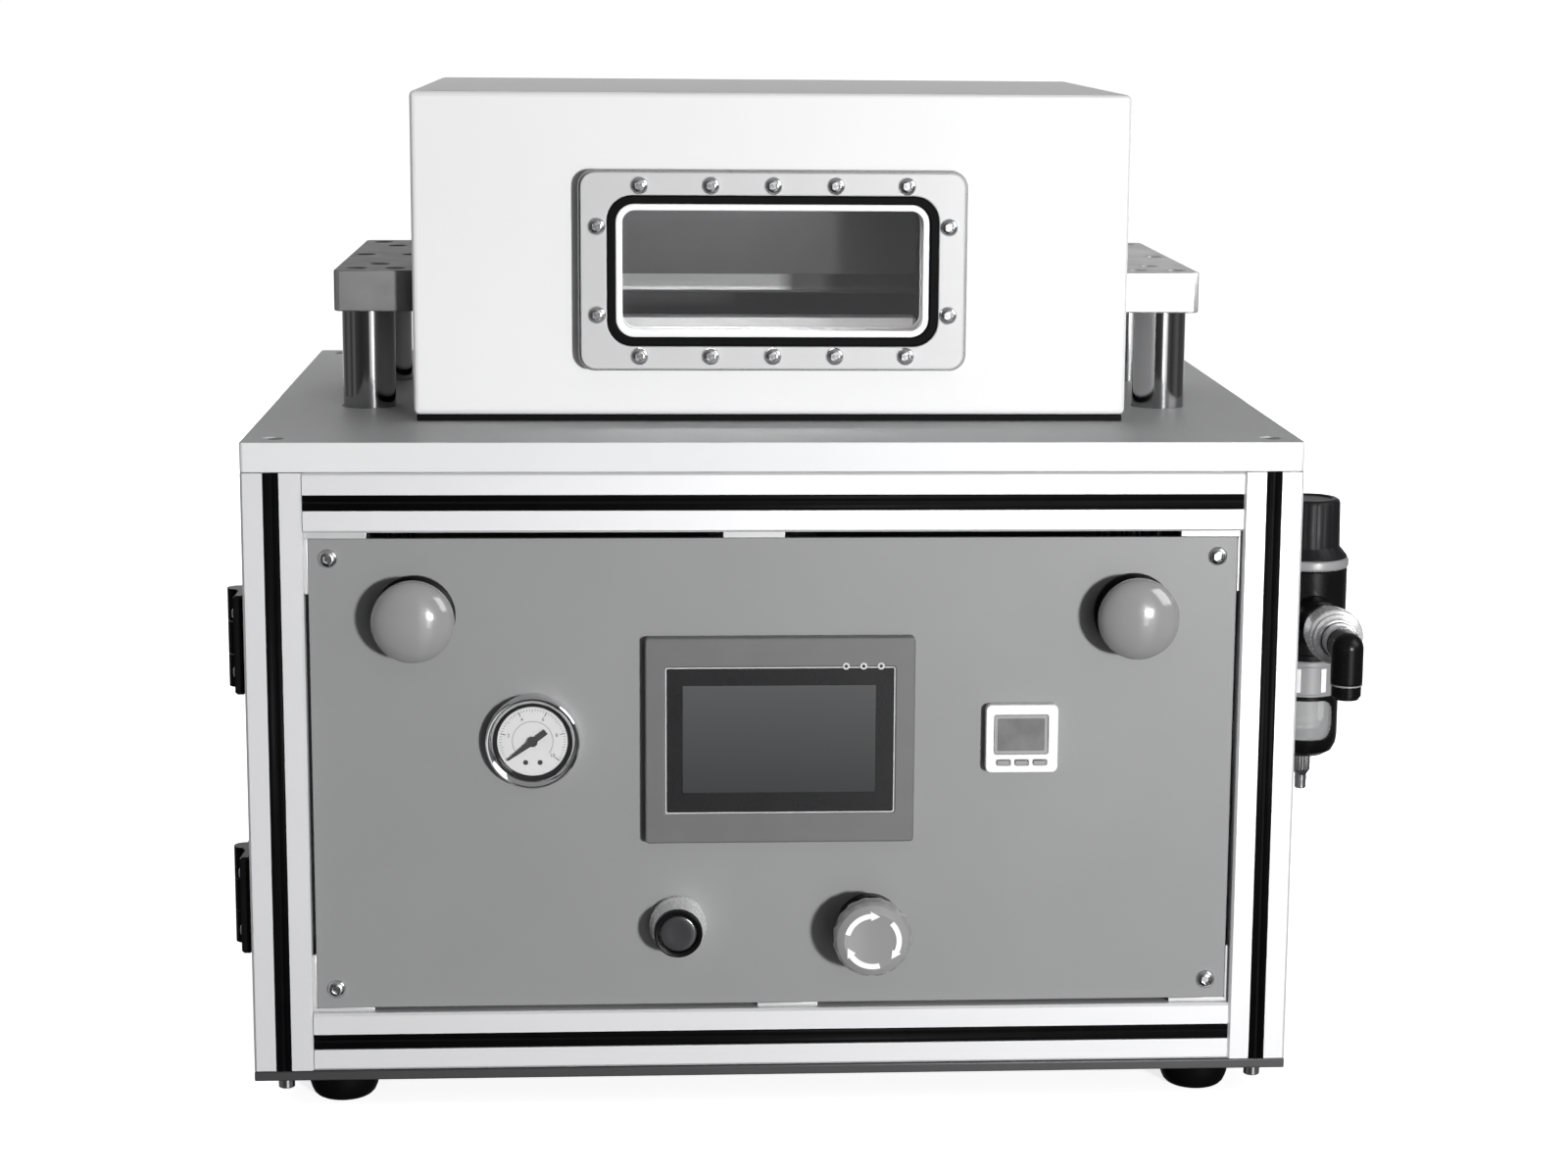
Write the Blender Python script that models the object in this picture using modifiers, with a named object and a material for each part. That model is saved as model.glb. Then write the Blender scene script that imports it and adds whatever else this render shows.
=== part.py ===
"""Bench-top vacuum chamber sealer for glove-box work: an aluminium-profile cabinet with a control panel,
and a white vacuum hood on top that four chrome columns raise.

Metres, +Z up. The operator stands on the -Y side and looks along +Y, with +X to the right.
The helpers and sizes below use cabinet coordinates: X = 0 on the cabinet's middle plane, Y = 0 on the
front faces of the posts, Z = 0 on the bench. One empty moves the whole model, so that the world origin
is the middle of the model's footprint, on the bench.
"""

import math

import bmesh
import bpy

# --- clearances -----------------------------------------------------------------------------------
TOUCH = 0.0003          # gap between pieces that rest on or are bolted to each other
RUNNING = 0.0004        # radial gap round a sliding column, rod or stem
CUTOUT = 0.0006         # gap round a body that passes through a cut-out in a sheet

# --- vacuum hood ----------------------------------------------------------------------------------
HOOD_WIDTH = 0.370
HOOD_DEPTH = 0.250
HOOD_HEIGHT = 0.166
HOOD_WALL = 0.012
HOOD_EDGE = 0.0025
SEAL_THICKNESS = 0.0028
SEAL_WIDTH = 0.009
SEAL_INSET = 0.0015     # how far the seal lies inside the hood's outline

# --- cabinet round the hood -----------------------------------------------------------------------
SIDE_SHELF = 0.080      # top plate left free on each side of the hood
FRONT_SHELF = 0.076
REAR_SHELF = 0.074
FOOT_HEIGHT = 0.015
FOOT_RADIUS = 0.018
FOOT_INSET_X = 0.043
FOOT_INSET_Y = 0.026
BASE_PLATE = 0.005
POST_LENGTH = 0.308
TOP_PLATE = 0.015
PROFILE = 0.030         # side of the square T-slot profile
SLOT_MOUTH = PROFILE * 0.267    # the slots' proportions go with the profile's size
SLOT_LIP = PROFILE * 0.067
SLOT_INSIDE = PROFILE * 0.55
SLOT_DEPTH = PROFILE * 0.283
SLOT_TAPER = PROFILE * 0.117
SLOT_FLOOR = PROFILE * 0.283
CORE_BORE = PROFILE * 0.113
SHEET = 0.003           # thickness of the front, right and rear panels
DOOR_SHEET = 0.004

# --- window in the hood ---------------------------------------------------------------------------
WINDOW_WIDTH = 0.1545
WINDOW_HEIGHT = 0.0615
WINDOW_CORNER = 0.007
WINDOW_RISE = 0.0755    # hood rim to the window's middle
PANE_BORDER_X = 0.02275
PANE_BORDER_Z = 0.0207
PANE_THICKNESS = 0.010
PANE_CORNER = 0.008
ORING_OFFSET = 0.0034   # opening's edge to the O-ring
ORING_WIDTH = 0.0045
ORING_DEPTH = 0.0034

# --- lift -----------------------------------------------------------------------------------------
WING_WIDTH = 0.042
WING_DEPTH = 0.200
WING_THICKNESS = 0.0215
WING_RISE = 0.051       # hood rim to the wing's underside
COLUMN_RADIUS = 0.014
COLUMN_REACH = 0.028    # hood side to the column's axis
COLUMN_PITCH = 0.120    # front column to rear column
BEAM_CLEARANCE = 0.0035 # base plate to the lift crossbeam with the hood shut
BEAM_THICKNESS = 0.016
BEAM_OVERHANG = 0.005
BEAM_WAIST = 0.060
BARREL_SIDE = 0.060
BARREL_WALL_END = 0.008
ROD_RADIUS = 0.008
ROD_ENGAGED = 0.030     # rod inside the barrel with the hood shut

# --- sealing jaws inside the hood -----------------------------------------------------------------
JAW_LENGTH = 0.168
JAW_DEPTH = 0.018
JAW_SETBACK = 0.106     # hood's front face to the jaws' front face
LOWER_JAW_HEIGHT = 0.043
UPPER_JAW_HEIGHT = 0.030
JAW_GAP = 0.0135
JAW_ROD_RADIUS = 0.005
JAW_ROD_PITCH = 0.060
JAW_CYLINDER_LENGTH = 0.110
JAW_CYLINDER_DEPTH = 0.044
JAW_CYLINDER_DROP = 0.008   # upper jaw to the cylinder block

# --- front panel and its controls -----------------------------------------------------------------
PANEL_GAP = 0.002
PANEL_TOP_GAP = 0.0035
PANEL_RECESS = 0.004
NECK_RADIUS = 0.0108
PANEL_HOLE = NECK_RADIUS + 0.0005
NECK_DEPTH = 0.034
PALM_INSET = 0.0525     # panel's side edge to a palm button's axis
PALM_DROP = 0.0386      # panel's top edge to a palm button's axis
PALM_RADIUS = 0.0205
PALM_COLLAR_RADIUS = 0.0175
PALM_COLLAR_HEIGHT = 0.008
PALM_TRAVEL = 0.006
PALM_DOME = 0.010
INSTRUMENT_RISE = 0.0185    # panel's middle to the instruments' middle
GAUGE_X = -0.1225
GAUGE_RADIUS = 0.0237
GAUGE_PROUD = 0.009
GAUGE_BODY_RADIUS = 0.0203
GAUGE_BODY_DEPTH = 0.026
GAUGE_DIAL_RADIUS = 0.0205
GAUGE_DIAL_RECESS = 0.0045
NEEDLE_THICKNESS = 0.0008
NEEDLE_TIP = 0.0155
NEEDLE_TAIL = 0.0085
NEEDLE_HUB = 0.0026
NEEDLE_ZERO = math.radians(217)
SCREEN_X = 0.0018
SCREEN_WIDTH = 0.136
SCREEN_HEIGHT = 0.106
SCREEN_PROUD = 0.007
SCREEN_BOX_WIDTH = 0.118
SCREEN_BOX_HEIGHT = 0.092
SCREEN_BOX_DEPTH = 0.028
SCREEN_GLASS_WIDTH = 0.1154
SCREEN_GLASS_HEIGHT = 0.0736
SCREEN_GLASS_LOW = 0.0008   # glass middle below the bezel's middle
SCREEN_GLASS_RECESS = 0.0012
SWITCH_X = 0.1244
SWITCH_WIDTH = 0.0368
SWITCH_HEIGHT = 0.0352
SWITCH_PROUD = 0.006
SWITCH_BOX = 0.030
SWITCH_BOX_DEPTH = 0.024
SWITCH_CORNER = 0.003
KEY_WIDTH = 0.0066
KEY_HEIGHT = 0.0024
KEY_PITCH = 0.0093
KEY_LOW = 0.0124        # keys below the switch's middle
KEY_POCKET = 0.0022
KEY_PROUD = 0.0006
BUTTON_RISE = 0.0414    # panel's bottom edge to the push buttons' axis
START_X = -0.0497
START_RISE = 0.0015     # above the emergency stop's axis
START_RADIUS = 0.0145
START_BASE_HEIGHT = 0.008
START_GUARD_RADIUS = 0.0123
START_HEIGHT = 0.020
START_CAP_RADIUS = 0.0093
START_CAP_RECESS = 0.001
START_TRAVEL = 0.0035
ESTOP_X = 0.048
ESTOP_RADIUS = 0.020
ESTOP_HEAD = 0.014
ESTOP_COLLAR_RADIUS = 0.0165
ESTOP_COLLAR_HEIGHT = 0.010
ESTOP_TRAVEL = 0.005
STEM_RADIUS = 0.006
STEM_ENGAGED = 0.012    # stem inside its collar with the button out

# --- side door and its hinges ---------------------------------------------------------------------
DOOR_GAP = 0.002
HINGE_HEIGHT = 0.051
HINGE_LEAF = 0.0055     # leaf thickness
HINGE_REACH = 0.024     # pin to a leaf's far edge
HINGE_BARREL = 0.0056
HINGE_PIN = 0.0022
HINGE_DROP = 0.0561     # door's top edge to the upper hinge's middle
HINGE_RISE = 0.0834     # door's bottom edge to the lower hinge's middle
LEAF_START = 0.0063     # pin to the flat part of a leaf

# --- air service unit on the right side -----------------------------------------------------------
UNIT_REACH = 0.045      # cabinet's right face to the unit's axis
UNIT_SETBACK = 0.190    # posts' front faces to the unit's axis
UNIT_PORT_Z = 0.220
UNIT_RADIUS = 0.0222
UNIT_TOP = 0.026        # port axis to the body's top
UNIT_BOTTOM = 0.026     # port axis to the body's underside
UNIT_RING_RADIUS = 0.0228
UNIT_RING_HEIGHT = 0.0056
PORT_RADIUS = 0.0125
PORT_REACH = 0.024      # unit's axis to a port's face
KNOB_RADIUS = 0.0175
KNOB_SKIRT_RADIUS = 0.0218
KNOB_SKIRT_HEIGHT = 0.0055
KNOB_HEIGHT = 0.033
KNOB_STEM_RADIUS = 0.006
KNOB_STEM_DEPTH = 0.006
BOWL_RADIUS = 0.020
BOWL_COLLAR_HEIGHT = 0.021
BOWL_HEIGHT = 0.0572
DRAIN_RADIUS = 0.0052
DRAIN_TIP_RADIUS = 0.0032
DRAIN_LENGTH = 0.0205
NIPPLE_RADIUS = 0.0095
NIPPLE_LENGTH = 0.070
SLEEVE_RADIUS = 0.0152
SLEEVE_LENGTH = 0.026
SLEEVE_FROM_TIP = 0.010
ELBOW_RADIUS = 0.0086
ELBOW_HUB_LENGTH = 0.020
ELBOW_DROP = 0.0265
ELBOW_BORE = 0.0042
LUG_HEIGHT = 0.030
LUG_WIDTH = 0.029

# --- sizes that follow from the above -------------------------------------------------------------
CABINET_WIDTH = HOOD_WIDTH + 2 * SIDE_SHELF
CABINET_DEPTH = FRONT_SHELF + HOOD_DEPTH + REAR_SHELF
HALF_WIDTH = CABINET_WIDTH / 2
INNER_HALF = HALF_WIDTH - PROFILE
BASE_Z = FOOT_HEIGHT + TOUCH
POST_Z = BASE_Z + BASE_PLATE + TOUCH
POST_TOP = POST_Z + POST_LENGTH
PLATE_Z = POST_TOP + TOUCH
PLATE_TOP = PLATE_Z + TOP_PLATE
SEAL_Z = PLATE_TOP + TOUCH
HOOD_Z = SEAL_Z + SEAL_THICKNESS + TOUCH
HOOD_TOP = HOOD_Z + HOOD_HEIGHT
HOOD_MIDDLE_Y = FRONT_SHELF + HOOD_DEPTH / 2
WINDOW_Z = HOOD_Z + WINDOW_RISE
WING_Z = HOOD_Z + WING_RISE
COLUMN_X = HOOD_WIDTH / 2 + COLUMN_REACH
BEAM_Z = POST_Z + BEAM_CLEARANCE
BEAM_TOP = BEAM_Z + BEAM_THICKNESS
LIFT_SPACE = PLATE_Z - BEAM_TOP
LIFT_STROKE = (LIFT_SPACE - ROD_ENGAGED - BARREL_WALL_END - 0.006) / 2
PANEL_BOTTOM = POST_Z + PROFILE + PANEL_GAP
PANEL_TOP = POST_TOP - PROFILE - PANEL_TOP_GAP
PANEL_MIDDLE = (PANEL_BOTTOM + PANEL_TOP) / 2
PANEL_HALF = INNER_HALF - PANEL_GAP
INSTRUMENT_Z = PANEL_MIDDLE + INSTRUMENT_RISE
PALM_X = PANEL_HALF - PALM_INSET
PALM_Z = PANEL_TOP - PALM_DROP
BUTTON_Z = PANEL_BOTTOM + BUTTON_RISE
START_Z = BUTTON_Z + START_RISE
HINGE_PIN_X = -HALF_WIDTH - TOUCH - HINGE_BARREL
HINGE_PIN_Y = PROFILE + DOOR_GAP / 2
DOOR_BOTTOM = POST_Z + DOOR_GAP
DOOR_TOP = POST_TOP - PROFILE - DOOR_GAP
UNIT_X = HALF_WIDTH + UNIT_REACH
UNIT_Y = UNIT_SETBACK
JAW_Y = FRONT_SHELF + JAW_SETBACK + JAW_DEPTH / 2
ESTOP_PROUD = ESTOP_COLLAR_HEIGHT + ESTOP_TRAVEL + 0.001 + ESTOP_HEAD
MODEL_LEFT = HINGE_PIN_X - HINGE_BARREL
MODEL_RIGHT = UNIT_X + UNIT_RING_RADIUS
MODEL_FRONT = PANEL_RECESS - ESTOP_PROUD
MODEL_REAR = CABINET_DEPTH

# Which way a piece's own +Z points: the turns of a blank whose length runs along its local Z.
ALONG_X = (0, math.pi / 2, 0)
ALONG_Y = (-math.pi / 2, 0, 0)
UPRIGHT = (0, 0, 0)
DOWNWARD = (math.pi, 0, 0)
TO_FRONT = (math.pi / 2, 0, 0)  # local +Z to the operator, local +Y up

# Finishes: colour, roughness, metallic.
ANODISED = ((0.78, 0.79, 0.80), 0.35, 0.9)
BARE_METAL = ((0.62, 0.63, 0.64), 0.30, 1.0)
DARK_METAL = ((0.16, 0.16, 0.17), 0.45, 0.6)
CHROME = ((0.80, 0.80, 0.81), 0.08, 1.0)
WHITE_PAINT = ((0.86, 0.86, 0.86), 0.40, 0.0)
GREY_PAINT = ((0.33, 0.33, 0.33), 0.45, 0.0)
GREY_PLASTIC = ((0.36, 0.36, 0.36), 0.30, 0.0)
DARK_PLASTIC = ((0.10, 0.10, 0.105), 0.40, 0.0)
WHITE_PLASTIC = ((0.82, 0.82, 0.82), 0.35, 0.0)
BLACK_PLASTIC = ((0.015, 0.015, 0.015), 0.35, 0.0)
BLACK_RUBBER = ((0.02, 0.02, 0.02), 0.70, 0.0)
SMOKED_CLEAR = ((0.70, 0.72, 0.73), 0.05, 0.0)


# --- helpers --------------------------------------------------------------------------------------
def start_collections():
    """Removes what is in the scene and returns the parts' and the cutters' collections."""
    for obj in list(bpy.data.objects):
        bpy.data.objects.remove(obj)
    parts = bpy.data.collections.new("vacuum_sealer")
    cutters = bpy.data.collections.new("cutters")
    for collection in (parts, cutters):
        bpy.context.scene.collection.children.link(collection)
    return parts, cutters


def dress(obj, finish):
    """Gives an object its own Principled material."""
    colour, roughness, metallic = finish
    material = bpy.data.materials.new(obj.name)
    material.use_nodes = True
    shader = material.node_tree.nodes["Principled BSDF"]
    shader.inputs["Base Color"].default_value = (*colour, 1.0)
    shader.inputs["Roughness"].default_value = roughness
    shader.inputs["Metallic"].default_value = metallic
    obj.data.materials.clear()
    obj.data.materials.append(material)


def place(name, data, where, turn, finish):
    """Links an object at a point in cabinet coordinates; with no finish it is a hidden cutter."""
    obj = bpy.data.objects.new(name, data)
    (PARTS if finish else CUTTERS).objects.link(obj)
    obj.parent = CABINET
    obj.location = where
    obj.rotation_euler = turn
    if finish:
        dress(obj, finish)
    else:
        obj.hide_render = True
        obj.display_type = "WIRE"
    return obj


def soften(obj, width, segments=1):
    """Rounds the edges sharper than 40 degrees."""
    bevel = obj.modifiers.new("edges", "BEVEL")
    bevel.width = width
    bevel.segments = segments
    bevel.limit_method = "ANGLE"
    bevel.angle_limit = math.radians(40)


def block(name, size, where, finish=None, edge=0.0, turn=UPRIGHT):
    """A box of a size, centred on a point."""
    mesh = bpy.data.meshes.new(name)
    shape = bmesh.new()
    bmesh.ops.create_cube(shape, size=1.0)
    bmesh.ops.scale(shape, vec=size, verts=shape.verts)
    shape.to_mesh(mesh)
    shape.free()
    obj = place(name, mesh, where, turn, finish)
    if edge:
        soften(obj, edge)
    return obj


def between(name, low, high, finish=None, edge=0.0):
    """A box from its lowest corner to its highest."""
    size = [b - a for a, b in zip(low, high)]
    middle = [(a + b) / 2 for a, b in zip(low, high)]
    return block(name, size, middle, finish, edge)


def cylinder(name, radius, length, where, turn, finish=None, sides=24):
    """A cylinder that starts at a point and runs along its local +Z."""
    mesh = bpy.data.meshes.new(name)
    shape = bmesh.new()
    bmesh.ops.create_cone(shape, cap_ends=True, segments=sides, radius1=radius, radius2=radius, depth=length)
    bmesh.ops.translate(shape, vec=(0, 0, length / 2), verts=shape.verts)
    shape.to_mesh(mesh)
    shape.free()
    obj = place(name, mesh, where, turn, finish)
    obj.data.shade_smooth()
    obj.data.set_sharp_from_angle(angle=math.radians(40))
    return obj


def turned(name, profile, where, turn, finish=None, sides=24, ring=False):
    """A turned shape. The profile's (radius, height) points run down the outer side; a ring's come back up inside."""
    count = len(profile)
    edges = [(i, i + 1) for i in range(count - 1)] + ([(count - 1, 0)] if ring else [])
    mesh = bpy.data.meshes.new(name)
    mesh.from_pydata([(radius, 0, height) for radius, height in profile], edges, [])
    obj = place(name, mesh, where, turn, finish)
    screw = obj.modifiers.new("turn", "SCREW")
    screw.steps = sides
    screw.render_steps = sides
    screw.use_merge_vertices = True
    screw.merge_threshold = 0.00001
    screw.use_smooth_shade = True
    return obj


def extruded(name, outlines, thickness, where, turn, finish=None):
    """A flat outline, with holes, extruded to a thickness about its own plane."""
    curve = bpy.data.curves.new(name, "CURVE")
    curve.dimensions = "2D"
    curve.fill_mode = "BOTH"
    curve.extrude = thickness / 2
    for outline in outlines:
        spline = curve.splines.new("POLY")
        spline.points.add(len(outline) - 1)
        for point, (x, y) in zip(spline.points, outline):
            point.co = (x, y, 0, 1)
        spline.use_cyclic_u = True
    return place(name, curve, where, turn, finish)


def as_mesh(obj):
    """Turns a curve object into a welded mesh object, so that it can be cut."""
    bpy.context.view_layer.update()
    graph = bpy.context.evaluated_depsgraph_get()
    mesh = bpy.data.meshes.new_from_object(obj.evaluated_get(graph))
    shape = bmesh.new()
    shape.from_mesh(mesh)
    bmesh.ops.remove_doubles(shape, verts=shape.verts, dist=0.000001)
    bmesh.ops.recalc_face_normals(shape, faces=shape.faces)
    shape.to_mesh(mesh)
    shape.free()
    name, hidden, material = obj.name, obj.hide_render, obj.data.materials[:]
    new = bpy.data.objects.new(name + "_mesh", mesh)
    (CUTTERS if hidden else PARTS).objects.link(new)
    new.parent = obj.parent
    new.matrix_world = obj.matrix_world
    new.hide_render = hidden
    new.display_type = obj.display_type
    bpy.data.objects.remove(obj)
    new.name = name
    if not mesh.materials:
        for entry in material:
            mesh.materials.append(entry)
    return new


def carve(obj, other, operation="DIFFERENCE"):
    """Cuts an object with a cutter, or joins them."""
    boolean = obj.modifiers.new(other.name, "BOOLEAN")
    boolean.operation = operation
    boolean.object = other
    return obj


def circle(radius, sides=24, x=0.0, y=0.0):
    step = math.tau / sides
    return [(x + radius * math.cos(i * step), y + radius * math.sin(i * step)) for i in range(sides)]


def rounded(width, height, radius, x=0.0, y=0.0, steps=4):
    """A rectangle's outline with round corners, counter-clockwise from the lower right."""
    points = []
    for quarter, (sx, sy) in enumerate(((1, -1), (1, 1), (-1, 1), (-1, -1))):
        for step in range(steps + 1):
            angle = math.pi / 2 * (quarter - 1 + step / steps)
            points.append((x + sx * (width / 2 - radius) + radius * math.cos(angle),
                           y + sy * (height / 2 - radius) + radius * math.sin(angle)))
    return points


def rectangle(width, height, x=0.0, y=0.0):
    return [(x + sx * width / 2, y + sy * height / 2) for sx, sy in ((1, -1), (1, 1), (-1, 1), (-1, -1))]


# --- cabinet --------------------------------------------------------------------------------------
def profile_outline():
    """The section of the T-slot profile: four slots round a square, and the core's bore."""
    half = PROFILE / 2
    corner = 0.0012
    slot = [(half, -half + corner), (half, -SLOT_MOUTH / 2), (half - SLOT_LIP, -SLOT_MOUTH / 2),
            (half - SLOT_LIP, -SLOT_INSIDE / 2), (half - SLOT_DEPTH + SLOT_TAPER, -SLOT_INSIDE / 2),
            (half - SLOT_DEPTH, -SLOT_FLOOR / 2)]
    side = slot + [(x, -y) for x, y in reversed(slot)]
    outline = []
    for quarter in range(4):
        angle = quarter * math.pi / 2
        outline += [(x * math.cos(angle) - y * math.sin(angle), x * math.sin(angle) + y * math.cos(angle))
                    for x, y in side]
    return [outline, circle(CORE_BORE, 12)]


def make_frame():
    """Four posts, two front rails and the side top rails."""
    section = profile_outline()
    half = PROFILE / 2
    for end, y in (("front", half), ("rear", CABINET_DEPTH - half)):
        for side, x in (("left", -HALF_WIDTH + half), ("right", HALF_WIDTH - half)):
            extruded(f"{end}_{side}_post", section, POST_LENGTH, (x, y, POST_Z + POST_LENGTH / 2), UPRIGHT, ANODISED)
    span = 2 * (INNER_HALF - TOUCH)
    for level, z in (("top", POST_TOP - half), ("bottom", POST_Z + half)):
        extruded(f"front_{level}_rail", section, span, (0, half, z), ALONG_X, ANODISED)
    span = CABINET_DEPTH - 2 * (PROFILE + TOUCH)
    for side, x in (("left", -HALF_WIDTH + half), ("right", HALF_WIDTH - half)):
        extruded(f"{side}_top_rail", section, span, (x, CABINET_DEPTH / 2, POST_TOP - half), ALONG_Y, ANODISED)


def make_plates():
    """The thick top plate, which the columns pass through, and the base plate."""
    middle = CABINET_DEPTH / 2
    holes = [circle(COLUMN_RADIUS + RUNNING, 24, x, HOOD_MIDDLE_Y + y - middle)
             for x in (-COLUMN_X, COLUMN_X) for y in (-COLUMN_PITCH / 2, COLUMN_PITCH / 2)]
    outline = rounded(CABINET_WIDTH, CABINET_DEPTH, 0.002, steps=1)
    extruded("top_plate", [outline, *holes], TOP_PLATE, (0, middle, PLATE_Z + TOP_PLATE / 2), UPRIGHT, BARE_METAL)
    between("base_plate", (-HALF_WIDTH, 0, BASE_Z), (HALF_WIDTH, CABINET_DEPTH, BASE_Z + BASE_PLATE), DARK_METAL)


def make_panels():
    """The front panel with its cut-outs, and the right and rear panels."""
    z = PANEL_MIDDLE
    cutouts = [circle(GAUGE_BODY_RADIUS + CUTOUT, 24, GAUGE_X, INSTRUMENT_Z - z),
               rectangle(SCREEN_BOX_WIDTH + 2 * CUTOUT, SCREEN_BOX_HEIGHT + 2 * CUTOUT, SCREEN_X, INSTRUMENT_Z - z),
               rectangle(SWITCH_BOX + 2 * CUTOUT, SWITCH_BOX + 2 * CUTOUT, SWITCH_X, INSTRUMENT_Z - z)]
    for x, height in ((-PALM_X, PALM_Z), (PALM_X, PALM_Z), (START_X, START_Z), (ESTOP_X, BUTTON_Z)):
        cutouts.append(circle(PANEL_HOLE, 16, x, height - z))
    outline = rectangle(2 * PANEL_HALF, PANEL_TOP - PANEL_BOTTOM)
    extruded("front_panel", [outline, *cutouts], SHEET, (0, PANEL_RECESS + SHEET / 2, z), TO_FRONT, GREY_PAINT)
    between("right_panel",
            (HALF_WIDTH - PANEL_RECESS - SHEET, PROFILE + PANEL_GAP, POST_Z + PANEL_GAP),
            (HALF_WIDTH - PANEL_RECESS, CABINET_DEPTH - PROFILE - PANEL_GAP, POST_TOP - PROFILE - PANEL_GAP),
            GREY_PAINT)
    between("rear_panel",
            (-PANEL_HALF, CABINET_DEPTH - PANEL_RECESS - SHEET, POST_Z + PANEL_GAP),
            (PANEL_HALF, CABINET_DEPTH - PANEL_RECESS, POST_TOP - PANEL_GAP), GREY_PAINT)


def make_feet():
    profile = [(0, 0), (FOOT_RADIUS, 0), (FOOT_RADIUS, -0.006), (FOOT_RADIUS * 0.94, -0.0105),
               (FOOT_RADIUS * 0.78, -FOOT_HEIGHT), (0, -FOOT_HEIGHT)]
    for end, y in (("front", FOOT_INSET_Y), ("rear", CABINET_DEPTH - FOOT_INSET_Y)):
        for side, sign in (("left", -1), ("right", 1)):
            where = (sign * (HALF_WIDTH - FOOT_INSET_X), y, FOOT_HEIGHT)
            turned(f"{end}_{side}_foot", profile, where, UPRIGHT, BLACK_RUBBER, sides=20)


def make_door():
    """The left side door, and two plastic hinges whose pins share one upright axis."""
    between("left_door", (-HALF_WIDTH, PROFILE + DOOR_GAP, DOOR_BOTTOM),
            (-HALF_WIDTH + DOOR_SHEET, CABINET_DEPTH - PROFILE - DOOR_GAP, DOOR_TOP), GREY_PAINT)
    for name, z in (("upper", DOOR_TOP - HINGE_DROP), ("lower", DOOR_BOTTOM + HINGE_RISE)):
        third = HINGE_HEIGHT / 3
        make_leaf(f"{name}_hinge_post_leaf", z, -1, (-third, third), pin=True)
        make_leaf(f"{name}_hinge_door_leaf", z, 1, (0.0,), pin=False)


def make_leaf(name, z, side, knuckles, pin):
    """One leaf: side -1 lies on the post, side 1 on the door. Each knuckle is a third of the hinge's height."""
    knuckle = HINGE_HEIGHT / 3 - 2 * TOUCH
    flat = HINGE_REACH - LEAF_START
    where = (HINGE_PIN_X + HINGE_BARREL - HINGE_LEAF / 2, HINGE_PIN_Y + side * (LEAF_START + flat / 2), z)
    leaf = block(name, (HINGE_LEAF, flat, HINGE_HEIGHT - 2 * TOUCH), where, BLACK_PLASTIC, edge=0.0012)
    for count, offset in enumerate(knuckles):
        start = (HINGE_PIN_X, HINGE_PIN_Y, z + offset - knuckle / 2)
        carve(leaf, cylinder(f"{name}_knuckle_{count}", HINGE_BARREL, knuckle, start, UPRIGHT, sides=16), "UNION")
        web = block(f"{name}_web_{count}", (HINGE_LEAF, LEAF_START + 0.002, knuckle),
                    (where[0], HINGE_PIN_Y + side * (LEAF_START + 0.002) / 2, z + offset))
        carve(leaf, web, "UNION")
    radius = HINGE_PIN if pin else HINGE_PIN + RUNNING
    length = HINGE_HEIGHT - 4 * TOUCH if pin else HINGE_HEIGHT * 1.2
    axis = cylinder(f"{name}_axis", radius, length, (HINGE_PIN_X, HINGE_PIN_Y, z - length / 2), UPRIGHT, sides=12)
    carve(leaf, axis, "UNION" if pin else "DIFFERENCE")


# --- hood and lift --------------------------------------------------------------------------------
def make_hood():
    """The open-bottomed hood with its window opening and O-ring groove, the pane, the O-ring and the rim seal."""
    where = (0, HOOD_MIDDLE_Y, HOOD_Z + HOOD_HEIGHT / 2)
    hood = block("hood_shell", (HOOD_WIDTH, HOOD_DEPTH, HOOD_HEIGHT), where, WHITE_PAINT, edge=HOOD_EDGE)
    wall = 2 * HOOD_WALL
    inside = (HOOD_WIDTH - wall, HOOD_DEPTH - wall, HOOD_HEIGHT)
    carve(hood, block("hood_inside", inside, (where[0], where[1], where[2] - HOOD_WALL)))
    window = extruded("window_cutter", [rounded(WINDOW_WIDTH, WINDOW_HEIGHT, WINDOW_CORNER)], 4 * HOOD_WALL,
                      (0, FRONT_SHELF, WINDOW_Z), TO_FRONT)
    carve(hood, as_mesh(window))
    groove = extruded("groove_cutter", ring_outlines(TOUCH), 2 * (ORING_DEPTH + TOUCH),
                      (0, FRONT_SHELF, WINDOW_Z), TO_FRONT)
    carve(hood, as_mesh(groove))
    extruded("window_oring", ring_outlines(0.0), ORING_DEPTH, (0, FRONT_SHELF + ORING_DEPTH / 2, WINDOW_Z),
             TO_FRONT, BLACK_RUBBER)
    pane = rounded(WINDOW_WIDTH + 2 * PANE_BORDER_X, WINDOW_HEIGHT + 2 * PANE_BORDER_Z, PANE_CORNER)
    extruded("window_pane", [pane], PANE_THICKNESS, (0, FRONT_SHELF - TOUCH - PANE_THICKNESS / 2, WINDOW_Z),
             TO_FRONT, SMOKED_CLEAR)
    outer = (HOOD_WIDTH - 2 * SEAL_INSET, HOOD_DEPTH - 2 * SEAL_INSET)
    rim = [rectangle(*outer), rectangle(outer[0] - 2 * SEAL_WIDTH, outer[1] - 2 * SEAL_WIDTH)]
    extruded("hood_rim_seal", rim, SEAL_THICKNESS, (0, HOOD_MIDDLE_Y, SEAL_Z + SEAL_THICKNESS / 2), UPRIGHT,
             BLACK_RUBBER)


def ring_outlines(grown):
    """The window O-ring's outer and inner outlines, grown by a gap on both sides."""
    inner = ORING_OFFSET - grown
    outer = ORING_OFFSET + ORING_WIDTH + grown
    return [rounded(WINDOW_WIDTH + 2 * step, WINDOW_HEIGHT + 2 * step, WINDOW_CORNER + step)
            for step in (outer, inner)]


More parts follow.
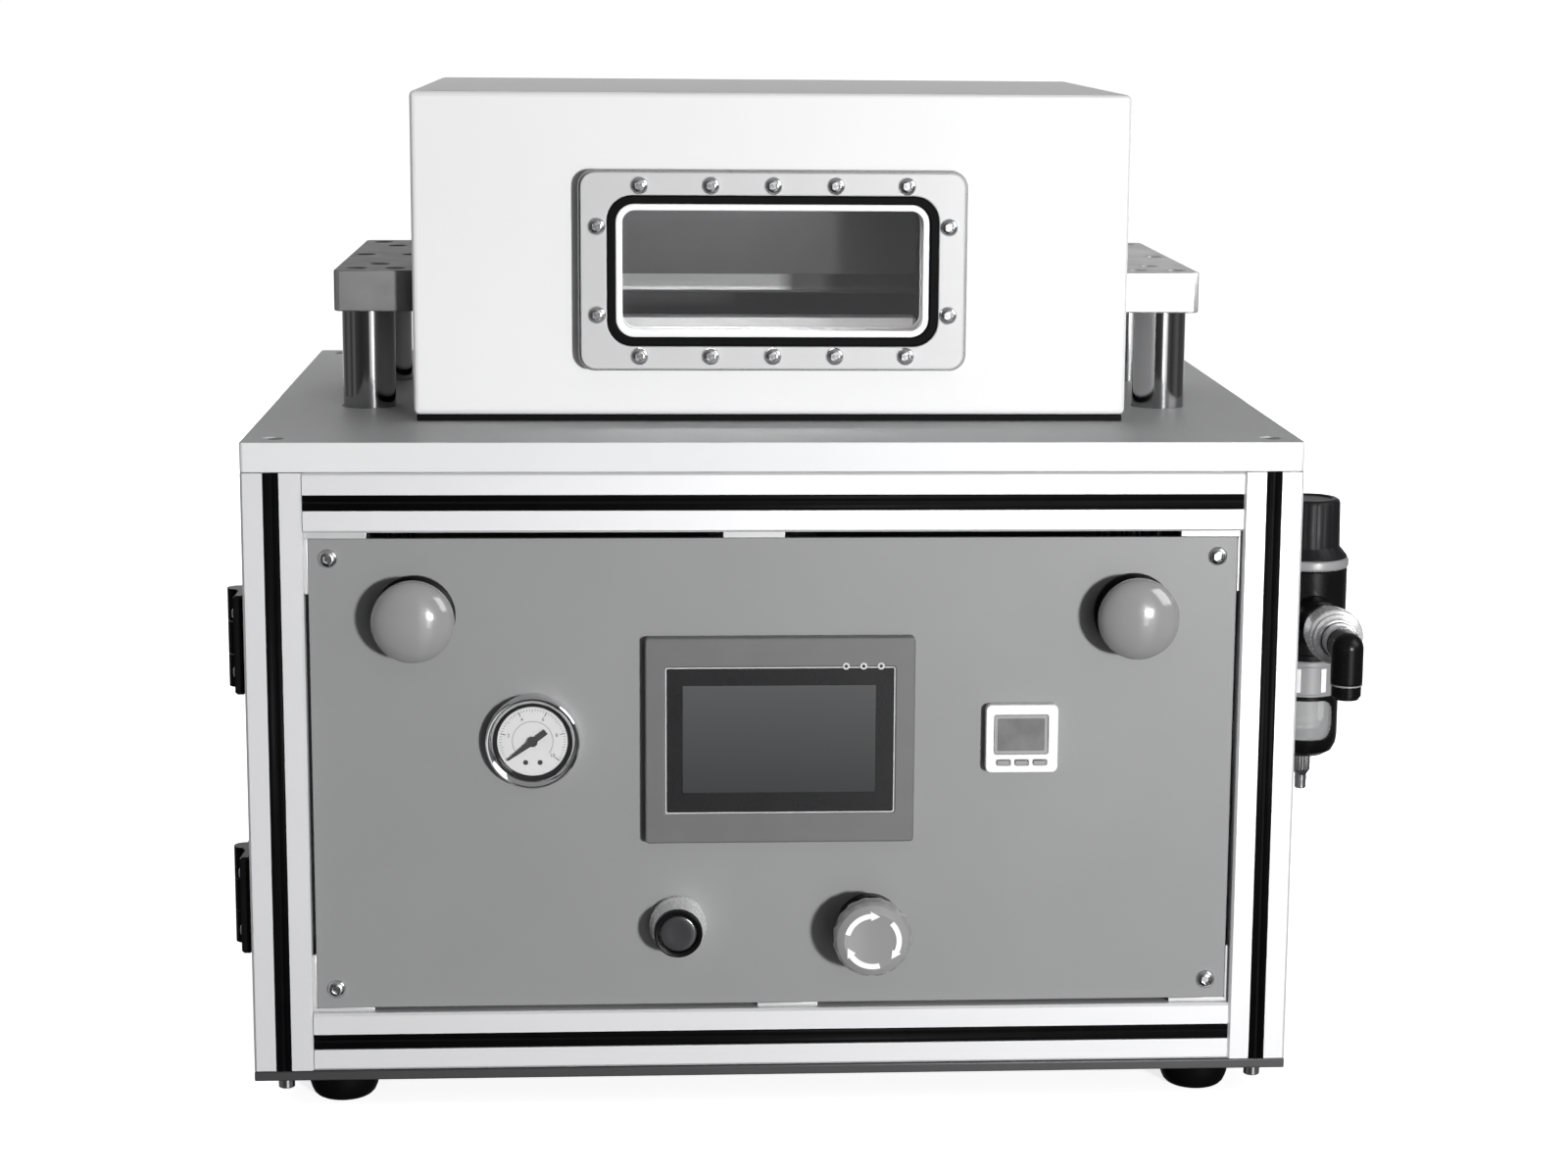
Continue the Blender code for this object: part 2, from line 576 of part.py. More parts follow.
def make_lift():
    """Wings on the hood's sides, the columns under them, and the crossbeam, rod and barrel inside the cabinet."""
    for side, sign in (("left", -1), ("right", 1)):
        middle = sign * (HOOD_WIDTH / 2 + TOUCH + WING_WIDTH / 2)
        block(f"{side}_wing_plate", (WING_WIDTH, WING_DEPTH, WING_THICKNESS),
              (middle, HOOD_MIDDLE_Y, WING_Z + WING_THICKNESS / 2), BARE_METAL, edge=0.001)
    bottom = BEAM_TOP + TOUCH
    height = WING_Z - TOUCH - bottom
    for end, y in (("front", -COLUMN_PITCH / 2), ("rear", COLUMN_PITCH / 2)):
        for side, sign in (("left", -1), ("right", 1)):
            cylinder(f"{end}_{side}_column", COLUMN_RADIUS, height, (sign * COLUMN_X, HOOD_MIDDLE_Y + y, bottom),
                     UPRIGHT, CHROME)
    foot = COLUMN_RADIUS + BEAM_OVERHANG
    pad = COLUMN_PITCH + 2 * foot
    outline = [(COLUMN_X + foot, pad / 2), (COLUMN_X - foot, pad / 2), (COLUMN_X - foot, BEAM_WAIST / 2)]
    outline += [(-x, y) for x, y in reversed(outline)]
    outline += [(x, -y) for x, y in reversed(outline)]
    extruded("lift_crossbeam", [outline], BEAM_THICKNESS,
             (0, HOOD_MIDDLE_Y, BEAM_Z + BEAM_THICKNESS / 2), UPRIGHT, BARE_METAL)
    barrel_z = BEAM_TOP + LIFT_STROKE + 0.003
    barrel = between("lift_cylinder", (-BARREL_SIDE / 2, HOOD_MIDDLE_Y - BARREL_SIDE / 2, barrel_z),
                     (BARREL_SIDE / 2, HOOD_MIDDLE_Y + BARREL_SIDE / 2, PLATE_Z - TOUCH), ANODISED, edge=0.004)
    depth = PLATE_Z - TOUCH - BARREL_WALL_END - barrel_z
    carve(barrel, cylinder("barrel_bore", ROD_RADIUS + RUNNING, depth + 0.01, (0, HOOD_MIDDLE_Y, barrel_z - 0.01),
                           UPRIGHT, sides=16))
    cylinder("lift_rod", ROD_RADIUS, barrel_z + ROD_ENGAGED - bottom, (0, HOOD_MIDDLE_Y, bottom), UPRIGHT, CHROME,
             sides=16)


def make_jaws():
    """The fixed lower jaw, the heated upper jaw with its two rods, and the cylinder block on the hood's ceiling."""
    half = JAW_LENGTH / 2
    lower_top = PLATE_TOP + TOUCH + LOWER_JAW_HEIGHT
    between("lower_jaw", (-half, JAW_Y - JAW_DEPTH / 2, PLATE_TOP + TOUCH), (half, JAW_Y + JAW_DEPTH / 2, lower_top),
            BARE_METAL, edge=0.0008)
    upper_bottom = lower_top + JAW_GAP
    upper_top = upper_bottom + UPPER_JAW_HEIGHT
    jaw = between("upper_jaw", (-half, JAW_Y - JAW_DEPTH / 2, upper_bottom), (half, JAW_Y + JAW_DEPTH / 2, upper_top),
                  DARK_METAL, edge=0.0008)
    ceiling = HOOD_TOP - HOOD_WALL - TOUCH
    block_bottom = upper_top + JAW_CYLINDER_DROP
    cylinder_block = between("jaw_cylinder", (-JAW_CYLINDER_LENGTH / 2, JAW_Y - JAW_CYLINDER_DEPTH / 2, block_bottom),
                             (JAW_CYLINDER_LENGTH / 2, JAW_Y + JAW_CYLINDER_DEPTH / 2, ceiling), DARK_METAL,
                             edge=0.002)
    rod = JAW_CYLINDER_DROP + JAW_GAP + 0.006
    for count, x in enumerate((-JAW_ROD_PITCH / 2, JAW_ROD_PITCH / 2)):
        start = (x, JAW_Y, upper_top - 0.004)
        carve(jaw, cylinder(f"jaw_rod_{count}", JAW_ROD_RADIUS, rod + 0.004, start, UPRIGHT, sides=12), "UNION")
        start = (x, JAW_Y, block_bottom - 0.01)
        bore = cylinder(f"jaw_bore_{count}", JAW_ROD_RADIUS + RUNNING, rod + 0.012, start, UPRIGHT, sides=12)
        carve(cylinder_block, bore)


# --- controls on the front panel ------------------------------------------------------------------
def push_collar(name, x, z, steps, finish):
    """A push button's fixed part: a stepped front, (radius, height) from the panel outwards, and its neck behind."""
    bore = STEM_RADIUS + RUNNING
    front = steps[-1][1]
    profile = [(bore, front)]
    for index in range(len(steps) - 1, -1, -1):
        radius, top = steps[index]
        bottom = steps[index - 1][1] if index else TOUCH
        profile += [(radius, top), (radius, bottom)]
    depth = -(SHEET + NECK_DEPTH)
    profile += [(NECK_RADIUS, TOUCH), (NECK_RADIUS, depth), (bore, depth)]
    return turned(name, profile, (x, PANEL_RECESS, z), TO_FRONT, finish, sides=24, ring=True)


def make_palm_buttons():
    """Two domed palm buttons for two-hand operation, each with a stem that runs in its collar."""
    underside = PALM_COLLAR_HEIGHT + PALM_TRAVEL + 0.001
    dome = [(PALM_RADIUS * math.sin(a), underside + 0.004 + PALM_DOME * math.cos(a))
            for a in (math.radians(step) for step in range(0, 91, 15))]
    profile = dome + [(PALM_RADIUS, underside + 0.001), (PALM_RADIUS - 0.001, underside), (STEM_RADIUS, underside),
                      (STEM_RADIUS, PALM_COLLAR_HEIGHT - STEM_ENGAGED), (0, PALM_COLLAR_HEIGHT - STEM_ENGAGED)]
    for side, sign in (("left", -1), ("right", 1)):
        push_collar(f"{side}_palm_collar", sign * PALM_X, PALM_Z, [(PALM_COLLAR_RADIUS, PALM_COLLAR_HEIGHT)],
                    BLACK_PLASTIC)
        turned(f"{side}_palm_button", profile, (sign * PALM_X, PANEL_RECESS, PALM_Z), TO_FRONT, GREY_PLASTIC,
               sides=28)


def make_start_button():
    """A guarded push button: a bright base ring, a guard round the cap, and the cap itself."""
    cap_well = START_CAP_RADIUS + RUNNING
    bore = STEM_RADIUS + RUNNING
    floor = START_HEIGHT - START_CAP_RECESS - START_TRAVEL - 0.0035
    profile = [(cap_well, START_HEIGHT), (START_GUARD_RADIUS, START_HEIGHT), (START_GUARD_RADIUS, START_BASE_HEIGHT),
               (START_RADIUS, START_BASE_HEIGHT), (START_RADIUS, TOUCH), (NECK_RADIUS, TOUCH),
               (NECK_RADIUS, -(SHEET + NECK_DEPTH)), (bore, -(SHEET + NECK_DEPTH)), (bore, floor), (cap_well, floor)]
    turned("start_button_bezel", profile, (START_X, PANEL_RECESS, START_Z), TO_FRONT, CHROME, ring=True)
    front = START_HEIGHT - START_CAP_RECESS
    back = front - 0.003
    cap = [(0, front), (START_CAP_RADIUS - 0.0005, front), (START_CAP_RADIUS, front - 0.0005),
           (START_CAP_RADIUS, back), (STEM_RADIUS, back), (STEM_RADIUS, floor - 0.010), (0, floor - 0.010)]
    turned("start_button", cap, (START_X, PANEL_RECESS, START_Z), TO_FRONT, DARK_PLASTIC)


def make_estop():
    """The emergency stop: collar, sliding stem, and a mushroom head that also twists to release."""
    push_collar("estop_collar", ESTOP_X, BUTTON_Z,
                [(ESTOP_COLLAR_RADIUS, 0.006), (ESTOP_COLLAR_RADIUS - 0.002, ESTOP_COLLAR_HEIGHT)], BLACK_PLASTIC)
    underside = ESTOP_COLLAR_HEIGHT + ESTOP_TRAVEL + 0.001
    back = ESTOP_COLLAR_HEIGHT - STEM_ENGAGED
    where = (ESTOP_X, PANEL_RECESS, BUTTON_Z)
    stem_end = underside - TOUCH
    stem = [(0, stem_end), (STEM_RADIUS, stem_end), (STEM_RADIUS, back), (0, back)]
    turned("estop_stem", stem, where, TO_FRONT, BLACK_PLASTIC, sides=16)
    top = underside + ESTOP_HEAD
    head = [(0, top), (ESTOP_RADIUS * 0.62, top), (ESTOP_RADIUS * 0.86, top - 0.0015), (ESTOP_RADIUS, top - 0.005),
            (ESTOP_RADIUS, underside + 0.004), (ESTOP_RADIUS * 0.90, underside), (0, underside)]
    turned("estop_button", head, where, TO_FRONT, GREY_PLASTIC, sides=28)


def make_gauge():
    """The pressure gauge's case, open at the front round its dial, and the needle at zero."""
    where = (GAUGE_X, PANEL_RECESS, INSTRUMENT_Z)
    dial = GAUGE_PROUD - GAUGE_DIAL_RECESS
    back = -(SHEET + GAUGE_BODY_DEPTH)
    case = [(0, dial), (GAUGE_DIAL_RADIUS, dial), (GAUGE_DIAL_RADIUS + 0.0008, GAUGE_PROUD),
            (GAUGE_RADIUS - 0.001, GAUGE_PROUD), (GAUGE_RADIUS, GAUGE_PROUD - 0.002), (GAUGE_RADIUS, TOUCH),
            (GAUGE_BODY_RADIUS, TOUCH), (GAUGE_BODY_RADIUS, back), (0, back)]
    turned("gauge_case", case, where, TO_FRONT, CHROME, sides=28)
    hub = [(NEEDLE_HUB * math.cos(a), NEEDLE_HUB * math.sin(a)) for a in (math.radians(d) for d in range(30, 151, 30))]
    half = hub + [(-NEEDLE_TAIL, 0.0013)]
    outline = [(NEEDLE_TIP, -0.0003), (NEEDLE_TIP, 0.0003)] + half + [(x, -y) for x, y in reversed(half)]
    turned_outline = [(x * math.cos(NEEDLE_ZERO) - y * math.sin(NEEDLE_ZERO),
                       x * math.sin(NEEDLE_ZERO) + y * math.cos(NEEDLE_ZERO)) for x, y in outline]
    y = PANEL_RECESS - dial - TOUCH * 3 - NEEDLE_THICKNESS / 2
    extruded("gauge_needle", [turned_outline], NEEDLE_THICKNESS, (GAUGE_X, y, INSTRUMENT_Z), TO_FRONT, BLACK_PLASTIC)


def make_instruments():
    """The touch-screen terminal, and the pressure switch with three keys."""
    bezel = block("touch_screen", (SCREEN_WIDTH, SCREEN_PROUD - TOUCH, SCREEN_HEIGHT),
                  (SCREEN_X, PANEL_RECESS - (SCREEN_PROUD + TOUCH) / 2, INSTRUMENT_Z), DARK_PLASTIC, edge=0.0012)
    rear = SHEET + SCREEN_BOX_DEPTH + TOUCH + 0.002
    carve(bezel, block("screen_box", (SCREEN_BOX_WIDTH, rear, SCREEN_BOX_HEIGHT),
                       (SCREEN_X, PANEL_RECESS + rear / 2 - TOUCH - 0.002, INSTRUMENT_Z)), "UNION")
    glass_z = INSTRUMENT_Z - SCREEN_GLASS_LOW
    carve(bezel, block("screen_recess", (SCREEN_GLASS_WIDTH, 2 * SCREEN_GLASS_RECESS, SCREEN_GLASS_HEIGHT),
                       (SCREEN_X, PANEL_RECESS - SCREEN_PROUD, glass_z)))
    front = PANEL_RECESS - SWITCH_PROUD
    outline = rounded(SWITCH_WIDTH, SWITCH_HEIGHT, SWITCH_CORNER, steps=3)
    face = as_mesh(extruded("pressure_switch", [outline], SWITCH_PROUD - TOUCH,
                            (SWITCH_X, (front + PANEL_RECESS - TOUCH) / 2, INSTRUMENT_Z), TO_FRONT, WHITE_PLASTIC))
    rear = SHEET + SWITCH_BOX_DEPTH + TOUCH + 0.002
    carve(face, block("switch_box", (SWITCH_BOX, rear, SWITCH_BOX),
                      (SWITCH_X, PANEL_RECESS + rear / 2 - TOUCH - 0.002, INSTRUMENT_Z)), "UNION")
    key_z = INSTRUMENT_Z - KEY_LOW
    for name, step in (("left", -1), ("middle", 0), ("right", 1)):
        x = SWITCH_X + step * KEY_PITCH
        pocket = block(f"{name}_key_pocket", (KEY_WIDTH + 2 * TOUCH, 2 * KEY_POCKET, KEY_HEIGHT + 2 * TOUCH),
                       (x, front, key_z))
        carve(face, pocket)
        depth = KEY_POCKET + KEY_PROUD - TOUCH * 3
        block(f"{name}_switch_key", (KEY_WIDTH, depth, KEY_HEIGHT), (x, front - KEY_PROUD + depth / 2, key_z),
              GREY_PLASTIC)


# --- air service unit -----------------------------------------------------------------------------
def make_air_unit():
    """The filter-regulator: body with its mounting lug and inlet nipple, knob, bowl, drain, sleeve and elbow."""
    top = UNIT_PORT_Z + UNIT_TOP
    bottom = UNIT_PORT_Z - UNIT_BOTTOM
    body = cylinder("filter_regulator_body", UNIT_RADIUS, top - bottom, (UNIT_X, UNIT_Y, bottom), UPRIGHT,
                    BLACK_PLASTIC, sides=32)
    carve(body, cylinder("ports", PORT_RADIUS, 2 * PORT_REACH, (UNIT_X, UNIT_Y + PORT_REACH, UNIT_PORT_Z), TO_FRONT,
                         sides=20), "UNION")
    panel_face = HALF_WIDTH - PANEL_RECESS + TOUCH
    lug_z = (top + bottom) / 2
    lug = between("mounting_lug", (panel_face, UNIT_Y - LUG_WIDTH / 2, lug_z - LUG_HEIGHT / 2),
                  (UNIT_X - PORT_RADIUS, UNIT_Y + LUG_WIDTH / 2, lug_z + LUG_HEIGHT / 2))
    carve(body, lug, "UNION")
    ring = cylinder("bonnet_ring", UNIT_RING_RADIUS, UNIT_RING_HEIGHT + 0.002, (UNIT_X, UNIT_Y, top - 0.002), UPRIGHT)
    carve(body, ring, "UNION")
    ring_top = top + UNIT_RING_HEIGHT
    carve(body, cylinder("knob_socket", KNOB_STEM_RADIUS + RUNNING, KNOB_STEM_DEPTH + 0.012,
                         (UNIT_X, UNIT_Y, ring_top - KNOB_STEM_DEPTH - 0.002), UPRIGHT, sides=12))
    nipple_start = UNIT_Y - PORT_REACH + 0.005
    tip = UNIT_Y - PORT_REACH - NIPPLE_LENGTH
    carve(body, cylinder("inlet_nipple", NIPPLE_RADIUS, nipple_start - tip, (UNIT_X, nipple_start, UNIT_PORT_Z),
                         TO_FRONT, sides=16), "UNION")
    where = (UNIT_X, UNIT_Y, ring_top + TOUCH)
    knob = [(0, KNOB_HEIGHT), (KNOB_RADIUS - 0.003, KNOB_HEIGHT), (KNOB_RADIUS - 0.0008, KNOB_HEIGHT - 0.002),
            (KNOB_RADIUS, KNOB_SKIRT_HEIGHT), (KNOB_SKIRT_RADIUS, 0.0005), (KNOB_SKIRT_RADIUS, 0.0),
            (KNOB_STEM_RADIUS, 0.0),
            (KNOB_STEM_RADIUS, -KNOB_STEM_DEPTH), (0, -KNOB_STEM_DEPTH)]
    turned("regulator_knob", knob, where, UPRIGHT, DARK_PLASTIC)
    shoulder = -BOWL_COLLAR_HEIGHT
    drain_bore = DRAIN_TIP_RADIUS + RUNNING
    seat = -BOWL_HEIGHT + 0.008
    bowl = [(0, 0), (BOWL_RADIUS, 0), (BOWL_RADIUS, shoulder), (BOWL_RADIUS - 0.001, shoulder - 0.001),
            (BOWL_RADIUS - 0.001, -BOWL_HEIGHT + 0.007), (BOWL_RADIUS - 0.004, -BOWL_HEIGHT + 0.002),
            (BOWL_RADIUS - 0.008, -BOWL_HEIGHT), (drain_bore, -BOWL_HEIGHT), (drain_bore, seat), (0, seat)]
    turned("filter_bowl", bowl, (UNIT_X, UNIT_Y, bottom - TOUCH), UPRIGHT, SMOKED_CLEAR)
    stem_top = seat - TOUCH
    nut_top = -BOWL_HEIGHT - TOUCH
    drain = [(0, stem_top), (DRAIN_TIP_RADIUS, stem_top), (DRAIN_TIP_RADIUS, nut_top), (DRAIN_RADIUS, nut_top),
             (DRAIN_RADIUS, nut_top - DRAIN_LENGTH * 0.5), (DRAIN_TIP_RADIUS, nut_top - DRAIN_LENGTH * 0.62),
             (DRAIN_TIP_RADIUS, nut_top - DRAIN_LENGTH), (0, nut_top - DRAIN_LENGTH)]
    turned("drain_valve", drain, (UNIT_X, UNIT_Y, bottom - TOUCH), UPRIGHT, BARE_METAL, sides=12)
    inner = NIPPLE_RADIUS + RUNNING
    sleeve = [(inner, SLEEVE_LENGTH), (SLEEVE_RADIUS - 0.004, SLEEVE_LENGTH), (SLEEVE_RADIUS, SLEEVE_LENGTH - 0.007),
              (SLEEVE_RADIUS, 0.0), (inner, 0.0)]
    back = tip + SLEEVE_FROM_TIP + SLEEVE_LENGTH
    turned("inlet_sleeve", sleeve, (UNIT_X, back, UNIT_PORT_Z), TO_FRONT, BARE_METAL, ring=True, sides=24)
    make_elbow(tip - TOUCH)


def make_elbow(back):
    """The push-in elbow: a hub on the nipple's axis and a leg that hangs down, with the tube's socket in its end."""
    hub = cylinder("elbow_fitting", ELBOW_RADIUS, ELBOW_HUB_LENGTH, (UNIT_X, back, UNIT_PORT_Z), TO_FRONT,
                   BLACK_PLASTIC, sides=20)
    leg_y = back - ELBOW_HUB_LENGTH + ELBOW_RADIUS
    leg = cylinder("elbow_leg", ELBOW_RADIUS, ELBOW_DROP, (UNIT_X, leg_y, UNIT_PORT_Z), DOWNWARD, sides=20)
    carve(hub, leg, "UNION")
    socket = cylinder("elbow_socket", ELBOW_BORE, ELBOW_DROP * 0.5, (UNIT_X, leg_y, UNIT_PORT_Z - ELBOW_DROP * 0.6),
                      DOWNWARD, sides=12)
    carve(hub, socket)


PARTS, CUTTERS = start_collections()
CABINET = bpy.data.objects.new("cabinet_origin", None)
PARTS.objects.link(CABINET)
CABINET.location = (-(MODEL_LEFT + MODEL_RIGHT) / 2, -(MODEL_FRONT + MODEL_REAR) / 2, 0)

make_frame()
make_plates()
make_panels()
make_feet()
make_door()
make_hood()
make_lift()
make_jaws()
make_palm_buttons()
make_start_button()
make_estop()
make_gauge()
make_instruments()
make_air_unit()
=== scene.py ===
"""Looks of the bench-top vacuum chamber sealer: fine surfaces, fittings, materials, studio and camera."""

import math

import bmesh
import bpy
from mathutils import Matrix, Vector


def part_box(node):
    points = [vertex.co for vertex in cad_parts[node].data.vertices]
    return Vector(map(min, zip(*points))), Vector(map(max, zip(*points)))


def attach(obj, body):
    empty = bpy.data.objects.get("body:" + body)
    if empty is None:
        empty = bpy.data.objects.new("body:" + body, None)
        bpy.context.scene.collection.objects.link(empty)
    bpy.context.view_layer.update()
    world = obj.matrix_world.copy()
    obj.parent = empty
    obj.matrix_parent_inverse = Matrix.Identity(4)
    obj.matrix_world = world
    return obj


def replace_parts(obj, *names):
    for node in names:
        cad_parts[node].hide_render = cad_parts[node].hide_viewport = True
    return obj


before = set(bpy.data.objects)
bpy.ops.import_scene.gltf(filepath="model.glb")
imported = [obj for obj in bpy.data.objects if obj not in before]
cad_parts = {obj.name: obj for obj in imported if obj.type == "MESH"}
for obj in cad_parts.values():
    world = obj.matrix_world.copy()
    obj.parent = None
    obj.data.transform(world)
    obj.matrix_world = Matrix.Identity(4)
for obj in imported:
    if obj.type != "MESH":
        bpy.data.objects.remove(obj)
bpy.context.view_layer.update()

# --- camera, in cabinet coordinates, and studio ---------------------------------------------------
CAMERA_PLACE = (-0.0653, -1.5177, 0.563)
CAMERA_TURN = (79.956, -0.496, -3.648)      # degrees
CAMERA_LENS = 70.96
CAMERA_SHIFT = (-0.0389, -0.0294)
FLOOR_GLOW = 0.8
KEY_WATTS = 160.0
LAMP_WATTS = 10.0
STRIP_WATTS = 5.0
REAR_WATTS = 26.0
ZENITH_LIGHT = 0.32
CEILING = (12, 50)              # elevations between which the walls give way to the zenith, in degrees
# brightness of the studio's wall by bearing, in degrees to the right of straight ahead of the cabinet's front
WALL = ((-180, 1.0), (-162, 1.0), (-145, 0.3), (-115, 0.1), (-92, 0.2), (-78, 0.08), (-64, 0.22),
        (-52, 0.08), (-30, 0.05), (4, 0.07), (12, 1.15), (26, 1.3), (33, 0.14), (50, 0.07), (78, 0.2),
        (96, 0.1), (125, 0.12), (145, 0.3), (162, 1.0), (180, 1.0))
# how that brightness changes with elevation, in degrees
RISE = ((-90, 0.12), (-45, 0.22), (-18, 0.85), (4, 1.0), (30, 0.62), (90, 0.5))

SIDES = ("left", "right")
ENDS = ("front", "rear")

# --- turns: which way a piece's own +Z points ------------------------------------------------------
UPRIGHT = (0, 0, 0)
DOWNWARD = (math.pi, 0, 0)
TO_FRONT = (math.pi / 2, 0, 0)
TO_REAR = (-math.pi / 2, 0, 0)
TO_LEFT = (0, -math.pi / 2, 0)
TO_RIGHT = (0, math.pi / 2, 0)

# --- sizes shared by several pieces ---------------------------------------------------------------
GAP = 0.0003                    # between pieces that touch
SHARP = math.radians(25)        # edges sharper than this aren't smoothed
HOOD_WALL = 0.012
WINDOW_WIDTH = 0.1545
WINDOW_HEIGHT = 0.0615
PANEL_SCREW_INSET = 0.01
NECK = 0.0108                   # radius of the controls' threaded necks
NECK_LENGTH = 0.037
NECK_BORE = 0.0064
SHANK = ((NECK, GAP), (NECK, -NECK_LENGTH), (NECK_BORE, -NECK_LENGTH))
UNIT_RADIUS = 0.0222
UNIT_RING = 0.0056
PORT_REACH = 0.024
PORT_RADIUS = 0.0125
ELBOW_RADIUS = 0.0086
DIAL_RADIUS = 0.0179
DIAL_START = 217                # degrees
DIAL_SWEEP = 254
DIAL_TICKS = 50

# --- places, read from the frame ------------------------------------------------------------------
PLATE_LOW, PLATE_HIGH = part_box("top_plate")
ORIGIN = Vector(((PLATE_LOW.x + PLATE_HIGH.x) / 2, PLATE_LOW.y, 0))


class Span:
    """A CAD node's box: X from the cabinet's middle, Y from the posts' fronts, Z from the bench."""

    def __init__(self, node):
        low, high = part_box(node)
        self.low = low - ORIGIN
        self.high = high - ORIGIN
        self.middle = (self.low + self.high) / 2
        self.size = high - low


PLATE = Span("top_plate")
BASE = Span("base_plate")
POST = Span("front_left_post")
PANEL = Span("front_panel")
HOOD = Span("hood_shell")
PANE = Span("window_pane")
ORING = Span("window_oring")
SCREEN = Span("touch_screen")
SWITCH = Span("pressure_switch")
GAUGE = Span("gauge_case")
START = Span("start_button_bezel")
ESTOP = Span("estop_button")
UNIT = Span("filter_regulator_body")
KNOB = Span("regulator_knob")
BOWL = Span("filter_bowl")
DOOR = Span("left_door")
PROFILE = POST.size.x
HALF = PLATE.size.x / 2
FACE = PANEL.low.y
POST_X = HALF - PROFILE / 2
POST_ROWS = (PROFILE / 2, PLATE.size.y - PROFILE / 2)
UNIT_X = KNOB.middle.x
UNIT_Y = KNOB.middle.y


# --- materials ------------------------------------------------------------------------------------
def node(tree, kind, sockets, **settings):
    """Adds a shader node, sets it up, and gives each listed socket a value or another node's output."""
    made = tree.nodes.new(f"ShaderNode{kind}")
    for name, value in settings.items():
        setattr(made, name, value)
    for name, value in sockets.items():
        if isinstance(value, bpy.types.NodeSocket):
            tree.links.new(value, made.inputs[name])
        else:
            made.inputs[name].default_value = value
    return made


def noise(tree, scale, detail, stretch=(1, 1, 1)):
    """A noise pattern in the piece's own coordinates, in metres; stretch squeezes it along each axis."""
    place = node(tree, "TexCoord", {}).outputs["Object"]
    mapping = node(tree, "Mapping", {"Vector": place, "Scale": stretch})
    pattern = node(tree, "TexNoise",
                   {"Vector": mapping.outputs["Vector"], "Scale": scale, "Detail": detail})
    return pattern.outputs["Fac"]


def remapped(tree, value, low, high, source=(0.3, 0.7), **settings):
    """Stretches the source range, which is the middle of a noise's range if not given, over low to high."""
    sockets = {"Value": value, "From Min": source[0], "From Max": source[1], "To Min": low, "To Max": high}
    return node(tree, "MapRange", sockets, **settings).outputs["Result"]


def mixed(tree, factor, first, second, **settings):
    """A mix of two colours."""
    sockets = {"Factor": factor, "A": first, "B": second}
    return node(tree, "Mix", sockets, data_type="RGBA", **settings).outputs["Result"]


def grey(level):
    return (level, level, level)


def surface(name, slot, colour, roughness, metallic, mottle, mottle_scale, grain, bump, stretch=(1, 1, 1),
            spread=0.05, **sockets):
    """A material whose colour is mottled, whose roughness varies, and whose skin has a fine grain."""
    look = bpy.data.materials.new(name)
    look.use_nodes = True
    look["slot"] = slot
    tree = look.node_tree
    shader = tree.nodes["Principled BSDF"]
    shader.inputs["Metallic"].default_value = metallic
    for socket, value in sockets.items():
        shader.inputs[socket.replace("_", " ")].default_value = value
    cloud = remapped(tree, noise(tree, mottle_scale, 5.0), 0.0, 1.0)
    darker = [level * (1 - mottle) for level in colour]
    paler = [min(1.0, level * (1 + mottle)) for level in colour]
    tree.links.new(mixed(tree, cloud, (*darker, 1), (*paler, 1)), shader.inputs["Base Color"])
    fine = noise(tree, grain, 3.0, stretch)
    rough = remapped(tree, fine, max(0.01, roughness - spread), roughness + spread)
    tree.links.new(rough, shader.inputs["Roughness"])
    skin = node(tree, "Bump", {"Height": fine, "Strength": bump, "Distance": 0.0003})
    tree.links.new(skin.outputs["Normal"], shader.inputs["Normal"])
    return look


def clear(name, colour, alpha, roughness):
    """Clear plastic or glass seen as a thin tinted veil with a glossy skin."""
    return surface(name, "clear", colour, roughness, 0.0, 0.03, 30, 800, 0.01, spread=0.01, Alpha=alpha,
                   Specular_IOR_Level=0.6)


def gradient(look, axis, ends, first, second):
    """Replaces a material's colour with a gradient along one of the piece's own axes."""
    tree = look.node_tree
    split = node(tree, "SeparateXYZ", {"Vector": node(tree, "TexCoord", {}).outputs["Object"]})
    along = remapped(tree, split.outputs[axis], 0.0, 1.0, ends)
    colour = mixed(tree, along, (*first, 1), (*second, 1))
    tree.links.new(colour, tree.nodes["Principled BSDF"].inputs["Base Color"])
    return look


ANODISED = surface("anodised_profile", "profile", (0.67, 0.67, 0.68), 0.4, 0.3, 0.015, 12, 700, 0.03,
                   spread=0.03)
PLATE_METAL = surface("blasted_plate", "bare_metal", (0.44, 0.443, 0.446), 0.5, 0.1, 0.02, 9, 1100, 0.04,
                      Specular_IOR_Level=0.2)
PLATE_EDGE = surface("machined_edge", "bare_metal", (0.65, 0.655, 0.66), 0.45, 0.1, 0.015, 12, 900, 0.03,
                     Specular_IOR_Level=0.3)
MILLED = surface("milled_aluminium", "bare_metal", (0.46, 0.46, 0.465), 0.4, 0.45, 0.2, 30, 90, 0.04,
                 (1, 3, 3), 0.08)
CHROME = surface("hard_chrome", "chrome", (0.66, 0.66, 0.67), 0.07, 1.0, 0.01, 20, 1500, 0.01, (1, 1, 8),
                 0.02)
# painted shade: a darker copy of the hard chrome, which dims the columns' reflections
DIMMED_COLUMN_CHROME = surface("dimmed_column_chrome", "chrome", (0.4, 0.4, 0.405), 0.1, 1.0, 0.01, 20, 1500, 0.01,
                        (1, 1, 8), 0.02)
BRIGHT = surface("bright_steel", "chrome", (0.6, 0.6, 0.61), 0.22, 1.0, 0.04, 80, 900, 0.04)
WHITE_COAT = surface("white_powder_coat", "white_paint", (0.7, 0.7, 0.705), 0.45, 0.0, 0.01, 8, 1300, 0.05)
# painted shade: a darker copy of the milled aluminium for the left wing, which lies in shade
SHADED_WING_GREY = surface("shaded_wing_aluminium", "bare_metal", (0.165, 0.165, 0.168), 0.5, 0.2, 0.2, 30, 90, 0.04,
                    (1, 3, 3), 0.08)
